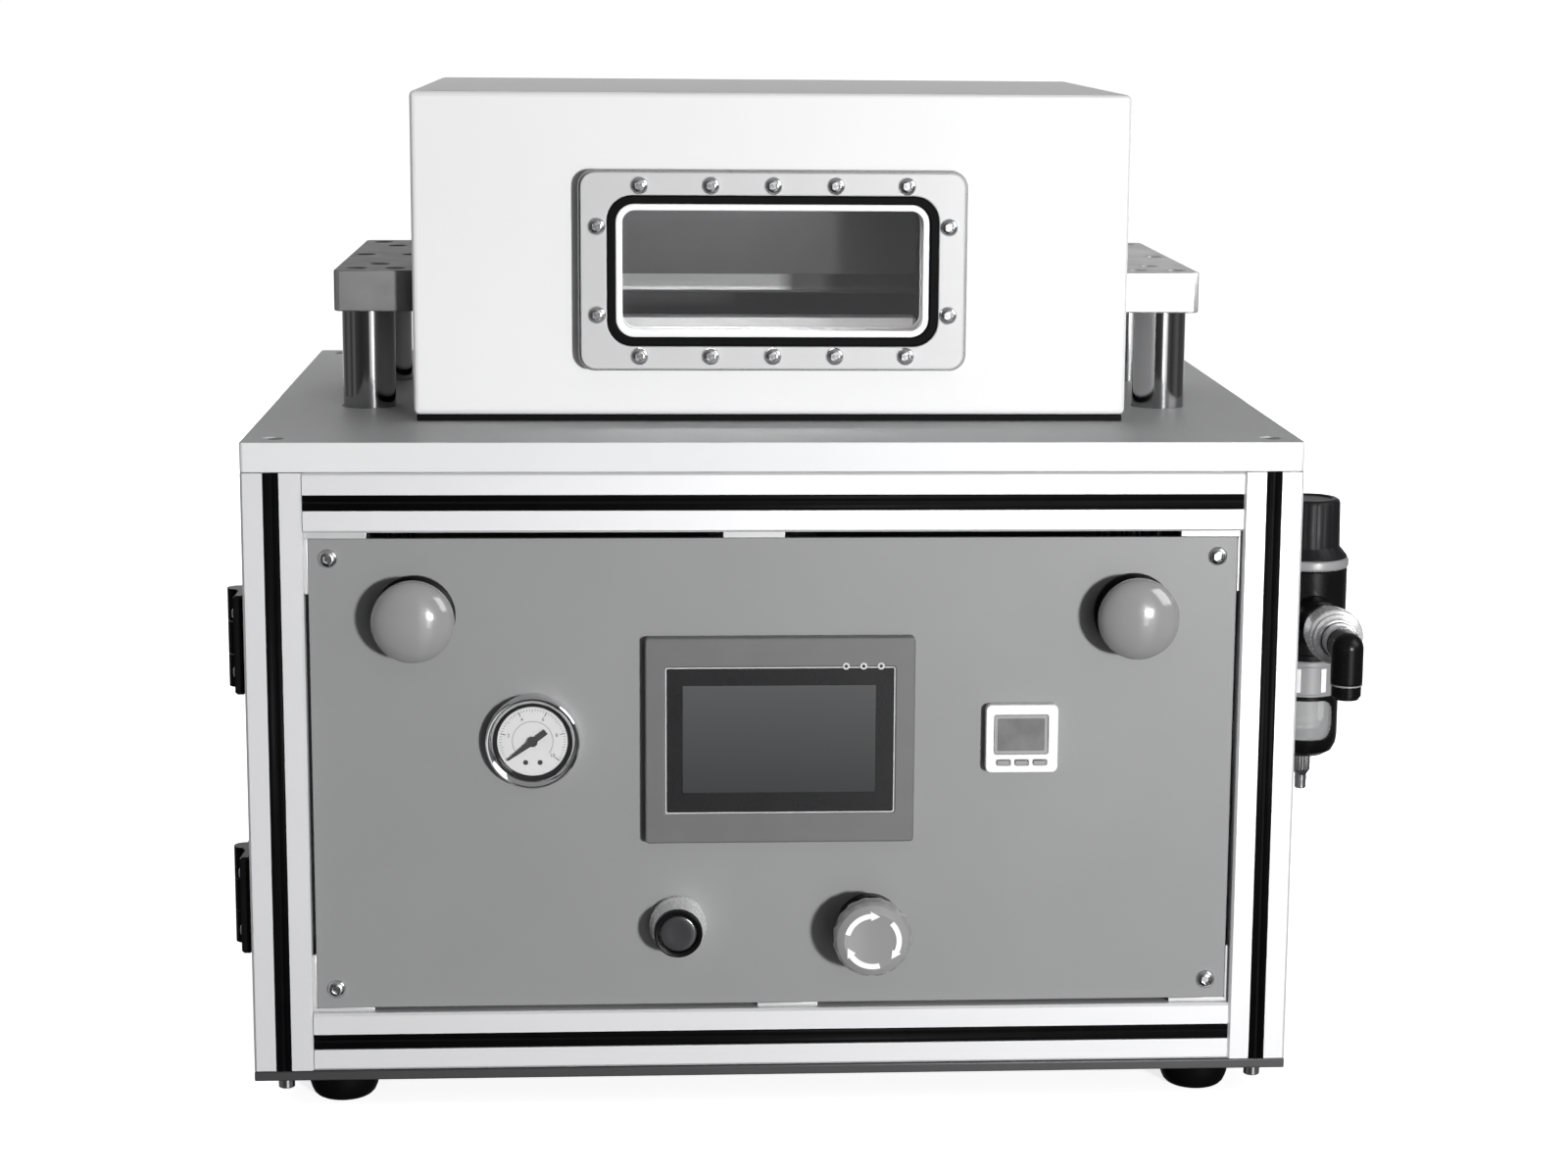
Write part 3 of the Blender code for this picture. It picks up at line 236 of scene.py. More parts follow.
# painted shade: the chamber's white paint made dark inside the hood
SHADED_INSIDE_COAT = surface("shaded_chamber_inside", "white_paint", (0.085, 0.085, 0.088), 0.5, 0.0, 0.08, 20, 900, 0.05)
GREY_COAT = surface("grey_powder_coat", "grey_paint", (0.222, 0.223, 0.225), 0.46, 0.0, 0.03, 10, 1500, 0.1)
DARK_STEEL = surface("dark_sheet", "dark_metal", (0.05, 0.05, 0.052), 0.45, 0.4, 0.06, 30, 900, 0.05)
WINDOW_FRAME = surface("window_frame", "clear", (0.5, 0.5, 0.505), 0.32, 0.1, 0.015, 20, 900, 0.01,
                       spread=0.02)
JAW_BLACK = surface("jaw_black", "dark_metal", (0.03, 0.03, 0.031), 0.45, 0.2, 0.1, 40, 900, 0.05)
BRACKET = surface("bracket_zinc", "bare_metal", (0.5, 0.5, 0.505), 0.4, 0.3, 0.05, 40, 900, 0.04)
COUPLING = surface("coupling_steel", "bare_metal", (0.8, 0.8, 0.805), 0.26, 0.6, 0.03, 60, 900, 0.005,
                   spread=0.02)
# painted reflection: dark surroundings seen in the clear frame's bevelled edge
FRAME_EDGE_REFLECTION = surface("window_edge_dark_reflection", "clear", grey(0.2), 0.3, 0.2, 0.05, 40, 900, 0.03)
DOME = surface("grey_dome", "grey_plastic", (0.265, 0.265, 0.267), 0.16, 0.0, 0.02, 40, 900, 0.015,
               Coat_Weight=0.6, Coat_Roughness=0.06)
BLACK = surface("black_plastic", "black_plastic", grey(0.004), 0.3, 0.0, 0.15, 60, 1500, 0.04,
                Specular_IOR_Level=0.14)
RUBBER = surface("black_rubber", "rubber", grey(0.003), 0.5, 0.0, 0.2, 60, 900, 0.1,
                 Specular_IOR_Level=0.04)
DARK_CAP = surface("dark_cap", "dark_plastic", (0.04, 0.04, 0.042), 0.2, 0.0, 0.08, 90, 900, 0.03,
                   Coat_Weight=0.4, Coat_Roughness=0.08)
KNOB_BLACK = surface("knob_black", "dark_plastic", (0.009, 0.009, 0.01), 0.42, 0.0, 0.12, 60, 900, 0.04,
                     Specular_IOR_Level=0.14)
# painted shade: black for the gauge bezel's shaded inner wall
GAUGE_RIM_SHADE = surface("gauge_rim_shade", "black_plastic", grey(0.006), 0.18, 0.0, 0.1, 60, 1500, 0.01,
                      Specular_IOR_Level=0.4)
BEZEL = surface("screen_bezel", "dark_plastic", (0.118, 0.118, 0.12), 0.38, 0.0, 0.04, 50, 1600, 0.08)
BEZEL_DARK = surface("screen_border", "dark_plastic", (0.014, 0.014, 0.015), 0.22, 0.0, 0.1, 50, 1600, 0.02)
BEZEL_LINE = surface("screen_line", "dark_plastic", grey(0.6), 0.35, 0.0, 0.05, 50, 1600, 0.02)
WHITE_PLASTIC = surface("white_plastic", "white_plastic", (0.84, 0.84, 0.845), 0.33, 0.0, 0.01, 40, 1500,
                        0.04)
KEY_GREY = surface("key_grey", "grey_plastic", grey(0.26), 0.4, 0.0, 0.04, 60, 1500, 0.05)
LCD_RIM = surface("lcd_rim", "grey_plastic", grey(0.3), 0.3, 0.0, 0.05, 60, 1500, 0.02)
LCD = surface("lcd_glass", "grey_plastic", (0.17, 0.172, 0.17), 0.12, 0.0, 0.18, 70, 1500, 0.01)
DIAL = surface("dial_white", "white_plastic", grey(0.62), 0.5, 0.0, 0.01, 60, 1500, 0.02)
INK = surface("ink", "black_plastic", grey(0.012), 0.5, 0.0, 0.1, 60, 1500, 0.02)
PALE_INK = surface("pale_ink", "grey_plastic", grey(0.3), 0.5, 0.0, 0.1, 60, 1500, 0.02)
ARROW_WHITE = surface("arrow_white", "white_plastic", grey(0.85), 0.4, 0.0, 0.02, 60, 1500, 0.02)
# painted light: the lower sealing strip glows faintly, though it is no lamp
STRIP = surface("glowing_sealing_strip", "bare_metal", grey(0.8), 0.45, 0.0, 0.06, 60, 600, 0.05, (1, 8, 8),
                Emission_Color=(1, 1, 1, 1), Emission_Strength=0.22)
FILTER = surface("filter_element", "white_plastic", (0.75, 0.75, 0.74), 0.8, 0.0, 0.05, 200, 1500, 0.2)
COLLAR = surface("grey_collar", "grey_plastic", (0.26, 0.26, 0.265), 0.35, 0.0, 0.06, 60, 1200, 0.06)
SHADE = surface("dark_recess", "black_plastic", grey(0.006), 0.7, 0.0, 0.1, 60, 900, 0.02)
# painted reflection: the unlit display is made lighter towards the top
SHEENED_DISPLAY = surface("display_glass_reflection", "dark_plastic", (0.085, 0.086, 0.088), 0.12, 0.0, 0.03, 30, 1500, 0.005)
gradient(SHEENED_DISPLAY, "Y", (-SCREEN.size.z * 0.27, SCREEN.size.z * 0.27), (0.048, 0.049, 0.05),
         (0.088, 0.089, 0.091))
WINDOW_GLASS = clear("window_glass", (0.1, 0.1, 0.102), 0.22, 0.03)
LENS = clear("gauge_lens", grey(0.2), 0.03, 0.03)
BOWL_CLEAR = clear("bowl_clear", (0.48, 0.485, 0.49), 0.45, 0.08)
LAMP = surface("lamp_diffuser", "white_plastic", grey(0.85), 0.5, 0.0, 0.02, 60, 900, 0.02,
               Emission_Color=(1, 1, 1, 1), Emission_Strength=70.0)
# painted shade: the upper strip is pale at its left and dark past its middle, where it lies in shade
HALF_SHADED_STRIP = surface("half_shaded_strip", "bare_metal", grey(0.5), 0.45, 0.0, 0.06, 60, 600, 0.05)
gradient(HALF_SHADED_STRIP, "X", (0.007, 0.016), grey(0.55), grey(0.03))


# --- shapes ---------------------------------------------------------------------------------------
def add(name, mesh, place, turn, look, body):
    """Puts a mesh at a point in cabinet coordinates, riding on a body."""
    obj = bpy.data.objects.new(name, mesh)
    bpy.context.scene.collection.objects.link(obj)
    obj.location = ORIGIN + Vector(place)
    obj.rotation_euler = turn
    if not mesh.materials:
        mesh.materials.append(look)
    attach(obj, body)
    return obj


def shade(mesh):
    """Square-on faces stay flat; the rest is smooth but for its sharp edges."""
    mesh.set_sharp_from_angle(angle=SHARP)
    for polygon in mesh.polygons:
        polygon.use_smooth = max(abs(value) for value in polygon.normal) < 0.9999


def finished(name, shape):
    """A shaded mesh from a bmesh."""
    bmesh.ops.recalc_face_normals(shape, faces=shape.faces)
    mesh = bpy.data.meshes.new(name)
    shape.to_mesh(mesh)
    shape.free()
    shade(mesh)
    return mesh


def soft_box(name, size, place, look, body, edge=0.0006, turn=UPRIGHT, segments=2):
    """A box with rounded edges, centred on a point."""
    shape = bmesh.new()
    bmesh.ops.create_cube(shape, size=1.0)
    bmesh.ops.scale(shape, vec=size, verts=shape.verts)
    bmesh.ops.bevel(shape, geom=shape.edges[:], offset=edge, segments=segments, affect="EDGES", profile=0.5)
    return add(name, finished(name, shape), place, turn, look, body)


def lathe_mesh(name, profile, sides=64, ring=False, facets=()):
    """A turned mesh from (radius, height) points; the points in facets lie on a hexagon instead."""
    shape = bmesh.new()
    rows = []
    for index, (radius, height) in enumerate(profile):
        row = []
        for step in range(sides if radius > 0 else 1):
            angle = math.tau * step / sides
            reach = radius
            if index in facets:
                reach = radius / math.cos((angle + math.pi / 6) % (math.pi / 3) - math.pi / 6)
            row.append(shape.verts.new((reach * math.cos(angle), reach * math.sin(angle), height)))
        rows.append(row)
    pairs = list(zip(rows, rows[1:])) + ([(rows[-1], rows[0])] if ring else [])
    for above, below in pairs:
        for step in range(sides):
            corners = []
            for row, index in ((above, step), (below, step), (below, step + 1), (above, step + 1)):
                corner = row[index % len(row)]
                if corner not in corners:
                    corners.append(corner)
            if len(corners) > 2:
                shape.faces.new(corners)
    return finished(name, shape)


def wave(count, angle):
    """Rises from 0 to 1 and falls again, count times round a circle."""
    return 0.5 + 0.5 * math.cos(count * angle)


def ridged_mesh(name, profile, sides, scale):
    """A turned mesh whose points are drawn towards the axis by scale(radius, height, angle)."""
    shape = bmesh.new()
    shape.from_mesh(lathe_mesh(f"{name}_plain", profile, sides))
    for vertex in shape.verts:
        x, y, z = vertex.co
        factor = scale(math.hypot(x, y), z, math.atan2(y, x))
        vertex.co.x *= factor
        vertex.co.y *= factor
    return finished(name, shape)


def lathe(name, profile, place, turn, look, body, sides=64, ring=False, facets=()):
    return add(name, lathe_mesh(name, profile, sides, ring, facets), place, turn, look, body)


def curve_mesh(name, curve):
    """The mesh that a curve or a text makes."""
    carrier = bpy.data.objects.new(name, curve)
    bpy.context.scene.collection.objects.link(carrier)
    bpy.context.view_layer.update()
    mesh = bpy.data.meshes.new_from_object(carrier.evaluated_get(bpy.context.evaluated_depsgraph_get()))
    bpy.data.objects.remove(carrier)
    return mesh


def flat_mesh(name, outlines, thickness, edge=0.0):
    """A flat outline with holes, extruded about its own plane, its rims rounded by edge."""
    curve = bpy.data.curves.new(name, "CURVE")
    curve.dimensions = "2D"
    curve.fill_mode = "BOTH"
    curve.extrude = thickness / 2 - edge
    curve.bevel_depth = edge
    curve.bevel_resolution = 1
    curve.offset = -edge
    for count, outline in enumerate(outlines):
        points = list(outline) if count == 0 else list(reversed(outline))
        spline = curve.splines.new("POLY")
        spline.points.add(len(points) - 1)
        for point, (x, y) in zip(spline.points, points):
            point.co = (x, y, 0, 1)
        spline.use_cyclic_u = True
    shape = bmesh.new()
    shape.from_mesh(curve_mesh(name, curve))
    bmesh.ops.remove_doubles(shape, verts=shape.verts, dist=0.000001)
    return finished(name, shape)


def flat(name, outlines, thickness, place, turn, look, body, edge=0.0):
    return add(name, flat_mesh(name, outlines, thickness, edge), place, turn, look, body)


def sheet(name, outlines, thickness, place, look, edge=0.0):
    """A flat piece of the cabinet that faces the front."""
    return flat(name, outlines, thickness, place, TO_FRONT, look, "cabinet", edge)


def polar(radius, angle):
    return radius * math.cos(angle), radius * math.sin(angle)


def circle(radius, x=0.0, y=0.0, sides=48):
    return [(x + radius * math.cos(math.tau * i / sides), y + radius * math.sin(math.tau * i / sides))
            for i in range(sides)]


def rounded(width, height, radius, x=0.0, y=0.0, steps=8):
    points = []
    for quarter, (sx, sy) in enumerate(((1, -1), (1, 1), (-1, 1), (-1, -1))):
        for step in range(steps + 1):
            angle = math.pi / 2 * (quarter - 1 + step / steps)
            points.append((x + sx * (width / 2 - radius) + radius * math.cos(angle),
                           y + sy * (height / 2 - radius) + radius * math.sin(angle)))
    return points


def cut(obj, cutters):
    """Cuts an object with others, which are then removed, and keeps the result as its mesh."""
    for cutter in cutters:
        boolean = obj.modifiers.new("cut", "BOOLEAN")
        boolean.operation = "DIFFERENCE"
        boolean.object = cutter
    bpy.context.view_layer.update()
    result = bpy.data.meshes.new_from_object(obj.evaluated_get(bpy.context.evaluated_depsgraph_get()))
    obj.modifiers.clear()
    obj.data = result
    for cutter in cutters:
        bpy.data.objects.remove(cutter)
    shade(result)
    return obj


def wear(node, look):
    """Gives a CAD node a material."""
    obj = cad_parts[node]
    obj.data.materials.clear()
    obj.data.materials.append(look)


# --- screws ---------------------------------------------------------------------------------------
def button_head(name, radius):
    """A button-head screw: a low dome with a hexagonal socket."""
    rise = radius * 0.55
    dome = [(radius * math.sin(a), rise * math.cos(a))
            for a in (math.radians(d) for d in (36, 50, 64, 78, 90))]
    socket = radius * 0.44
    profile = [(0, rise * 0.25), (socket, rise * 0.25), (socket, rise * 0.86), *dome, (radius, 0), (0, 0)]
    return lathe_mesh(name, profile, 36, facets=(1, 2))


def socket_head(name, radius):
    """A cylinder-head screw sunk in a counterbore, seen as a ring with a hexagonal socket."""
    profile = [(0, -0.0035), (radius * 0.52, -0.0035), (radius * 0.52, -0.0004), (radius * 0.9, -0.0004),
               (radius, -0.0009), (radius, -0.006), (0, -0.006)]
    return lathe_mesh(name, profile, 36, facets=(1, 2))


def cap_head(name, radius, height):
    """A cylinder-head bolt standing proud of its plate."""
    profile = [(0, height - 0.0025), (radius * 0.55, height - 0.0025), (radius * 0.55, height),
               (radius * 0.9, height), (radius, height - 0.0004), (radius, 0), (0, 0)]
    return lathe_mesh(name, profile, 36, facets=(1, 2))


def screws(name, mesh, places, turn, look, body):
    """Copies of one screw at several places."""
    for count, place in enumerate(places):
        add(f"{name}_{count}", mesh, place, turn, look, body)


PANEL_SCREW = button_head("panel_screw", 0.0048)
WINDOW_SCREW = button_head("window_screw", 0.0046)
SMALL_SCREW = button_head("small_screw", 0.003)
SUNK_SCREW = socket_head("sunk_screw", 0.0047)
CAP_SCREW = cap_head("cap_screw", 0.0042, 0.0065)


# --- cabinet --------------------------------------------------------------------------------------
def slot_strip(name, length, place, turn):
    """A rubber cover strip pressed into a profile's slot: two lips with a groove between them."""
    half = PROFILE * 0.267 / 2 - 0.0001
    outline = [(half, -0.0028), (half, 0.0), (half - 0.0007, 0.0005), (0.0011, 0.0004), (0.0005, -0.0003),
               (-0.0005, -0.0003), (-0.0011, 0.0004), (-half + 0.0007, 0.0005), (-half, 0.0),
               (-half, -0.0028)]
    shape = bmesh.new()
    ends = [[shape.verts.new((x, end, y)) for x, y in outline] for end in (-length / 2, length / 2)]
    count = len(outline)
    for index in range(count):
        after = (index + 1) % count
        shape.faces.new((ends[0][index], ends[0][after], ends[1][after], ends[1][index]))
    for end in ends:
        shape.faces.new(end)
    return add(name, finished(name, shape), place, turn, RUBBER, "cabinet")


def make_frame():
    """Profiles, and strips in the slots that show."""
    for end in ENDS:
        for side in SIDES:
            wear(f"{end}_{side}_post", ANODISED)
    for rail in ("front_top_rail", "front_bottom_rail", "left_top_rail", "right_top_rail"):
        wear(rail, ANODISED)
    deep = 0.001               # of the strips' middles, below the profiles' faces
    for side, sign in zip(SIDES, (-1, 1)):
        slot_strip(f"{side}_front_strip", POST.size.z, (sign * POST_X, deep, POST.middle.z), TO_FRONT)
        slot_strip(f"{side}_back_strip", POST.size.z, (sign * POST_X, PLATE.size.y - deep, POST.middle.z),
                   TO_REAR)
        for row, y in enumerate(POST_ROWS):
            slot_strip(f"{side}_side_strip_{row}", POST.size.z, (sign * (HALF - deep), y, POST.middle.z),
                       (math.pi / 2, 0, sign * math.pi / 2))
        rail = Span(f"{side}_top_rail")
        slot_strip(f"{side}_rail_strip", rail.size.y, (sign * (HALF - deep), rail.middle.y, rail.middle.z),
                   (0, sign * math.pi / 2, 0))
    for level in ("top", "bottom"):
        rail = Span(f"front_{level}_rail")
        slot_strip(f"{level}_rail_strip", rail.size.x, (0, deep, rail.middle.z),
                   (math.pi / 2, math.pi / 2, 0))


def make_plates():
    """The top plate with its sunk screws, and the base plate with screws below the posts."""
    columns = [Span(f"{end}_{side}_column") for end in ENDS for side in SIDES]
    middle = PLATE.middle.y
    bores = [circle(column.size.x / 2 + 0.0004, column.middle.x, column.middle.y - middle)
             for column in columns]
    corners = [(sx * POST_X, y) for y in POST_ROWS for sx in (-1, 1)]
    sunk = [circle(0.0052, x, y - middle, 32) for x, y in corners]
    outline = rounded(PLATE.size.x, PLATE.size.y, 0.002)
    plate = flat("top_plate_fine", [outline, *bores, *sunk], PLATE.size.z, PLATE.middle, UPRIGHT,
                 PLATE_METAL, "cabinet", 0.0005)
    plate.data.materials.append(PLATE_EDGE)
    for face in plate.data.polygons:
        face.material_index = int(abs(face.normal.z) < 0.5)
    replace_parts(plate, "top_plate")
    screws("post_screw", SUNK_SCREW, [(x, y, PLATE.high.z - 0.0012) for x, y in corners], UPRIGHT,
           DARK_STEEL, "cabinet")
    base = soft_box("base_plate_fine", BASE.size, BASE.middle, DARK_STEEL, "cabinet", 0.0006)
    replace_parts(base, "base_plate")
    rows = (0.0105, PLATE.size.y - 0.0105)
    bolts = [(sx * POST_X, y, BASE.low.z) for y in rows for sx in (-1, 1)]
    screws("base_bolt", CAP_SCREW, bolts, DOWNWARD, BRIGHT, "cabinet")


def make_feet():
    for end in ENDS:
        for side in SIDES:
            node = f"{end}_{side}_foot"
            foot = Span(node)
            r = foot.size.x / 2
            h = foot.size.z
            profile = [(0, 0), (r * 0.94, 0), (r, -0.0008), (r, -h * 0.35), (r * 0.985, -h * 0.52),
                       (r * 0.94, -h * 0.7), (r * 0.88, -h * 0.86), (r * 0.8, -h * 0.96), (r * 0.74, -h),
                       (r * 0.3, -h), (r * 0.28, -h * 0.8), (0, -h * 0.8)]
            piece = lathe(f"{node}_fine", profile, (foot.middle.x, foot.middle.y, foot.high.z), UPRIGHT,
                          RUBBER, "cabinet")
            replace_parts(piece, node)


def inset(panel, axis):
    """Where a panel's outer screws sit along an axis."""
    return panel.low[axis] + PANEL_SCREW_INSET, panel.high[axis] - PANEL_SCREW_INSET


def make_panels():
    """The front panel with its screws and the brackets in its gap, and the right and rear panels."""
    necks = [Span(node) for node in ("left_palm_collar", "right_palm_collar", "start_button_bezel",
                                     "estop_collar")]
    holes = [circle(NECK + 0.0005, neck.middle.x, neck.middle.z - PANEL.middle.z, 32) for neck in necks]
    holes.append(circle(0.0209, GAUGE.middle.x, GAUGE.middle.z - PANEL.middle.z))
    holes.append(rounded(0.1192, 0.0932, 0.001, SCREEN.middle.x, SCREEN.middle.z - PANEL.middle.z))
    holes.append(rounded(0.0312, 0.0312, 0.001, SWITCH.middle.x, SWITCH.middle.z - PANEL.middle.z))
    outline = rounded(PANEL.size.x, PANEL.size.z, 0.001)
    panel = sheet("front_panel_fine", [outline, *holes], PANEL.size.y, PANEL.middle, GREY_COAT, 0.0004)
    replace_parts(panel, "front_panel")
    corners = [(x, FACE, z) for x in inset(PANEL, 0) for z in inset(PANEL, 2)]
    screws("front_panel_screw", PANEL_SCREW, corners, TO_FRONT, BRIGHT, "cabinet")
    make_brackets()
    make_side_panel()
    make_rear_panel()


def make_brackets():
    """Light brackets in the gap round the front panel: in the middle above and below, and at the corners."""
    top = Span("front_top_rail").low.z
    bottom = Span("front_bottom_rail").high.z
    inner = HALF - PROFILE
    y = FACE + 0.001
    depth = 0.0022
    width = 0.031
    height = 0.028

    def bracket(name, low, high):
        size = (high[0] - low[0], depth, high[1] - low[1])
        soft_box(name, size, ((low[0] + high[0]) / 2, y, (low[1] + high[1]) / 2), BRACKET, "cabinet",
                 0.0003)

    bracket("top_bracket", (-0.027, PANEL.high.z), (0.004, top))
    bracket("bottom_bracket", (-0.009, bottom), (0.022, PANEL.low.z))
    for side, sign in zip(SIDES, (-1, 1)):
        near = sign * inner
        low, high = sorted((near, sign * (inner - width)))
        bracket(f"{side}_top_corner", (low, PANEL.high.z), (high, top))
        bracket(f"{side}_bottom_corner", (low, bottom), (high, PANEL.low.z))
        low, high = sorted((near, sign * PANEL.high.x))
        bracket(f"{side}_upper_corner", (low, PANEL.high.z - height), (high, PANEL.high.z))
        bracket(f"{side}_lower_corner", (low, PANEL.low.z), (high, PANEL.low.z + height))


def make_side_panel():
    side = Span("right_panel")
    panel = flat("right_panel_fine", [rounded(side.size.z, side.size.y, 0.001)], side.size.x, side.middle,
                 TO_RIGHT, GREY_COAT, "cabinet", 0.0004)
    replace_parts(panel, "right_panel")
    low, high = inset(side, 2)
    places = [(side.high.x, y, z) for y in inset(side, 1) for z in (low, side.middle.z, high)]
    screws("right_panel_screw", PANEL_SCREW, places, TO_RIGHT, BRIGHT, "cabinet")


def make_rear_panel():
    """The rear panel, with ventilation slots and its screws."""
    rear = Span("rear_panel")
    length, width, pitch = 0.075, 0.0042, 0.0095
    lowest = -0.085
    slots = [rounded(length, width, 0.002, side * 0.115, lowest + row * pitch, 4) for side in (-1, 1)
             for row in range(7)]
    panel = sheet("rear_panel_fine", [rounded(rear.size.x, rear.size.z, 0.001), *slots], rear.size.y,
                  rear.middle, GREY_COAT, 0.0004)
    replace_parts(panel, "rear_panel")
    left, right = inset(rear, 0)
    places = [(x, rear.high.y, z) for x in (left, 0.0, right) for z in inset(rear, 2)]
    screws("rear_panel_screw", PANEL_SCREW, places, TO_REAR, BRIGHT, "cabinet")


def make_door():
    """The side door with a fixed pull, and screws in the hinges' leaves."""
    door = flat("left_door_fine", [rounded(DOOR.size.z, DOOR.size.y, 0.0015)], DOOR.size.x, DOOR.middle,
                TO_LEFT, GREY_COAT, "left_door", 0.0006)
    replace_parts(door, "left_door")
    pull_y = DOOR.high.y - 0.03
    lip = 0.0065
    soft_box("door_pull", (lip, 0.012, 0.09), (DOOR.low.x - lip / 2, pull_y, DOOR.middle.z), BLACK,
             "left_door", 0.0022, segments=3)
    screws("pull_screw", SMALL_SCREW,
           [(DOOR.low.x - lip, pull_y, DOOR.middle.z + dz) for dz in (-0.036, 0.036)], TO_LEFT, BRIGHT,
           "left_door")
    for level in ("upper", "lower"):
        for leaf, body in (("post", "cabinet"), ("door", "left_door")):
            node = f"{level}_hinge_{leaf}_leaf"
            wear(node, BLACK)
            hinge = Span(node)
            away = 0.0085
            y = hinge.low.y + away if leaf == "post" else hinge.high.y - away
            x = hinge.high.x - 0.0055
            places = [(x, y, hinge.middle.z + dz) for dz in (-0.015, 0.015)]
            screws(f"{node}_screw", SMALL_SCREW, places, TO_LEFT, BRIGHT, body)


# --- hood and lift --------------------------------------------------------------------------------
def make_hood():
    """The hood's shell, with painted shade on its inside faces, and its window opening."""
    shell = soft_box("hood_fine", HOOD.size, HOOD.middle, WHITE_COAT, "hood", 0.0028, segments=3)
    inside_size = (HOOD.size.x - 2 * HOOD_WALL, HOOD.size.y - 2 * HOOD_WALL, HOOD.size.z)
    inside_place = HOOD.middle - Vector((0, 0, HOOD_WALL))
    inside = soft_box("hood_hollow", inside_size, inside_place, SHADED_INSIDE_COAT, "hood", 0.0015)
    opening = flat("hood_window", [rounded(WINDOW_WIDTH, WINDOW_HEIGHT, 0.007)], 4 * HOOD_WALL,
                   (0, HOOD.low.y, PANE.middle.z), TO_FRONT, WHITE_COAT, "hood")
    cut(shell, [inside, opening])
    # the inside faces get the darkened paint: painted shade
    shell.data.materials.append(SHADED_INSIDE_COAT)
    middle = shell.matrix_world.inverted() @ (ORIGIN + HOOD.middle)
    slack = 0.0005              # a face this close to the hollow still belongs to it
    for face in shell.data.polygons:
        offset = face.center - middle
        within = (abs(offset.x) < inside_size[0] / 2 + slack and abs(offset.y) < inside_size[1] / 2 + slack
                  and slack - HOOD.size.z / 2 < offset.z < HOOD.size.z / 2 - HOOD_WALL + slack)
        if within:
            face.material_index = 1
    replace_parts(shell, "hood_shell")
    wear("hood_rim_seal", RUBBER)


def make_window():
    """The window: a screwed frame, its edge with a painted dark reflection, the O-ring, the white inner band
    and the glass.
    """
    x, z = PANE.middle.x, PANE.middle.z
    width, height = PANE.size.x, PANE.size.z
    ring_w, ring_h = ORING.size.x, ORING.size.z
    front = PANE.low.y
    rim = rounded(ring_w, ring_h, 0.013)
    # the backing shows round the frame as its dark edge: painted reflection
    backing = flat("window_backing", [rounded(width, height, 0.0085), rim], PANE.size.y - 0.0024,
                   (x, PANE.middle.y + 0.0012, z), TO_FRONT, FRAME_EDGE_REFLECTION, "hood", 0.0004)
    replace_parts(backing, "window_pane")
    flat("window_frame", [rounded(width - 0.003, height - 0.0022, 0.0075), rim], 0.0026,
         (x, front + 0.0013, z), TO_FRONT, WINDOW_FRAME, "hood", 0.0006)
    band = rounded(ring_w - 0.009, ring_h - 0.009, 0.0095)
    oring = flat("window_oring_fine", [rim, band], PANE.size.y - 0.0012, (x, PANE.middle.y + 0.0006, z),
                 TO_FRONT, RUBBER, "hood", 0.0008)
    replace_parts(oring, "window_oring")
    hole = rounded(WINDOW_WIDTH, WINDOW_HEIGHT, 0.0065)
    flat("window_band", [band, hole], 0.007, (x, PANE.high.y - 0.0036, z), TO_FRONT, WHITE_PLASTIC, "hood",
         0.0006)
    flat("window_glass", [rounded(WINDOW_WIDTH + 0.0005, WINDOW_HEIGHT + 0.0005, 0.0066)], 0.003,
         (x, PANE.high.y - 0.003, z), TO_FRONT, WINDOW_GLASS, "hood")
    across, up = 0.0903, 0.0437     # from the window's middle to its columns and rows of screws
    places = [(x + dx, front, z + side * up) for dx in (-0.0685, -0.032, 0.0, 0.032, 0.0685)
              for side in (-1, 1)]
    places += [(x + side * across, front, z + dz) for side in (-1, 1) for dz in (-0.0225, 0.0228)]
    screws("window_screw", WINDOW_SCREW, places, TO_FRONT, BRIGHT, "hood")


def make_lift():
    """Wing plates with sunk screws, the chromed columns, and the gear inside the cabinet."""
    for side in SIDES:
        wing = Span(f"{side}_wing_plate")
        w, d = wing.size.x, wing.size.y
        spots = [(sx * w * 0.24, sy) for sx in (-1, 1) for sy in (-d / 2 + 0.014, d / 2 - 0.014)]
        spots += [(0.0, -0.06), (0.0, 0.06), (-w * 0.3, 0.0), (w * 0.3, 0.0)]
        outline = rounded(w, d, 0.003, steps=2)
        # the left wing wears the darker copy: painted shade
        plate = flat(f"{side}_wing_fine", [outline, *[circle(0.005, x, y, 28) for x, y in spots]],
                     wing.size.z, wing.middle, UPRIGHT, SHADED_WING_GREY if side == "left" else MILLED, "hood",
                     0.0008)
        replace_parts(plate, f"{side}_wing_plate")
        places = [(wing.middle.x + x, wing.middle.y + y, wing.high.z - 0.003) for x, y in spots]
        screws(f"{side}_wing_screw", SUNK_SCREW, places, UPRIGHT, DARK_STEEL, "hood")
        for end in ENDS:
            node = f"{end}_{side}_column"
            column = Span(node)
            r, h = column.size.x / 2, column.size.z
            profile = [(0, h), (r - 0.0008, h), (r, h - 0.0008), (r, 0.0008), (r - 0.0008, 0), (0, 0)]
            # the columns wear the darkened chrome: painted shade
            piece = lathe(f"{node}_fine", profile, (column.middle.x, column.middle.y, column.low.z),
                          UPRIGHT, DIMMED_COLUMN_CHROME, "hood", 96)
            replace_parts(piece, node)
    wear("lift_crossbeam", MILLED)
    wear("lift_cylinder", ANODISED)
    wear("lift_rod", CHROME)


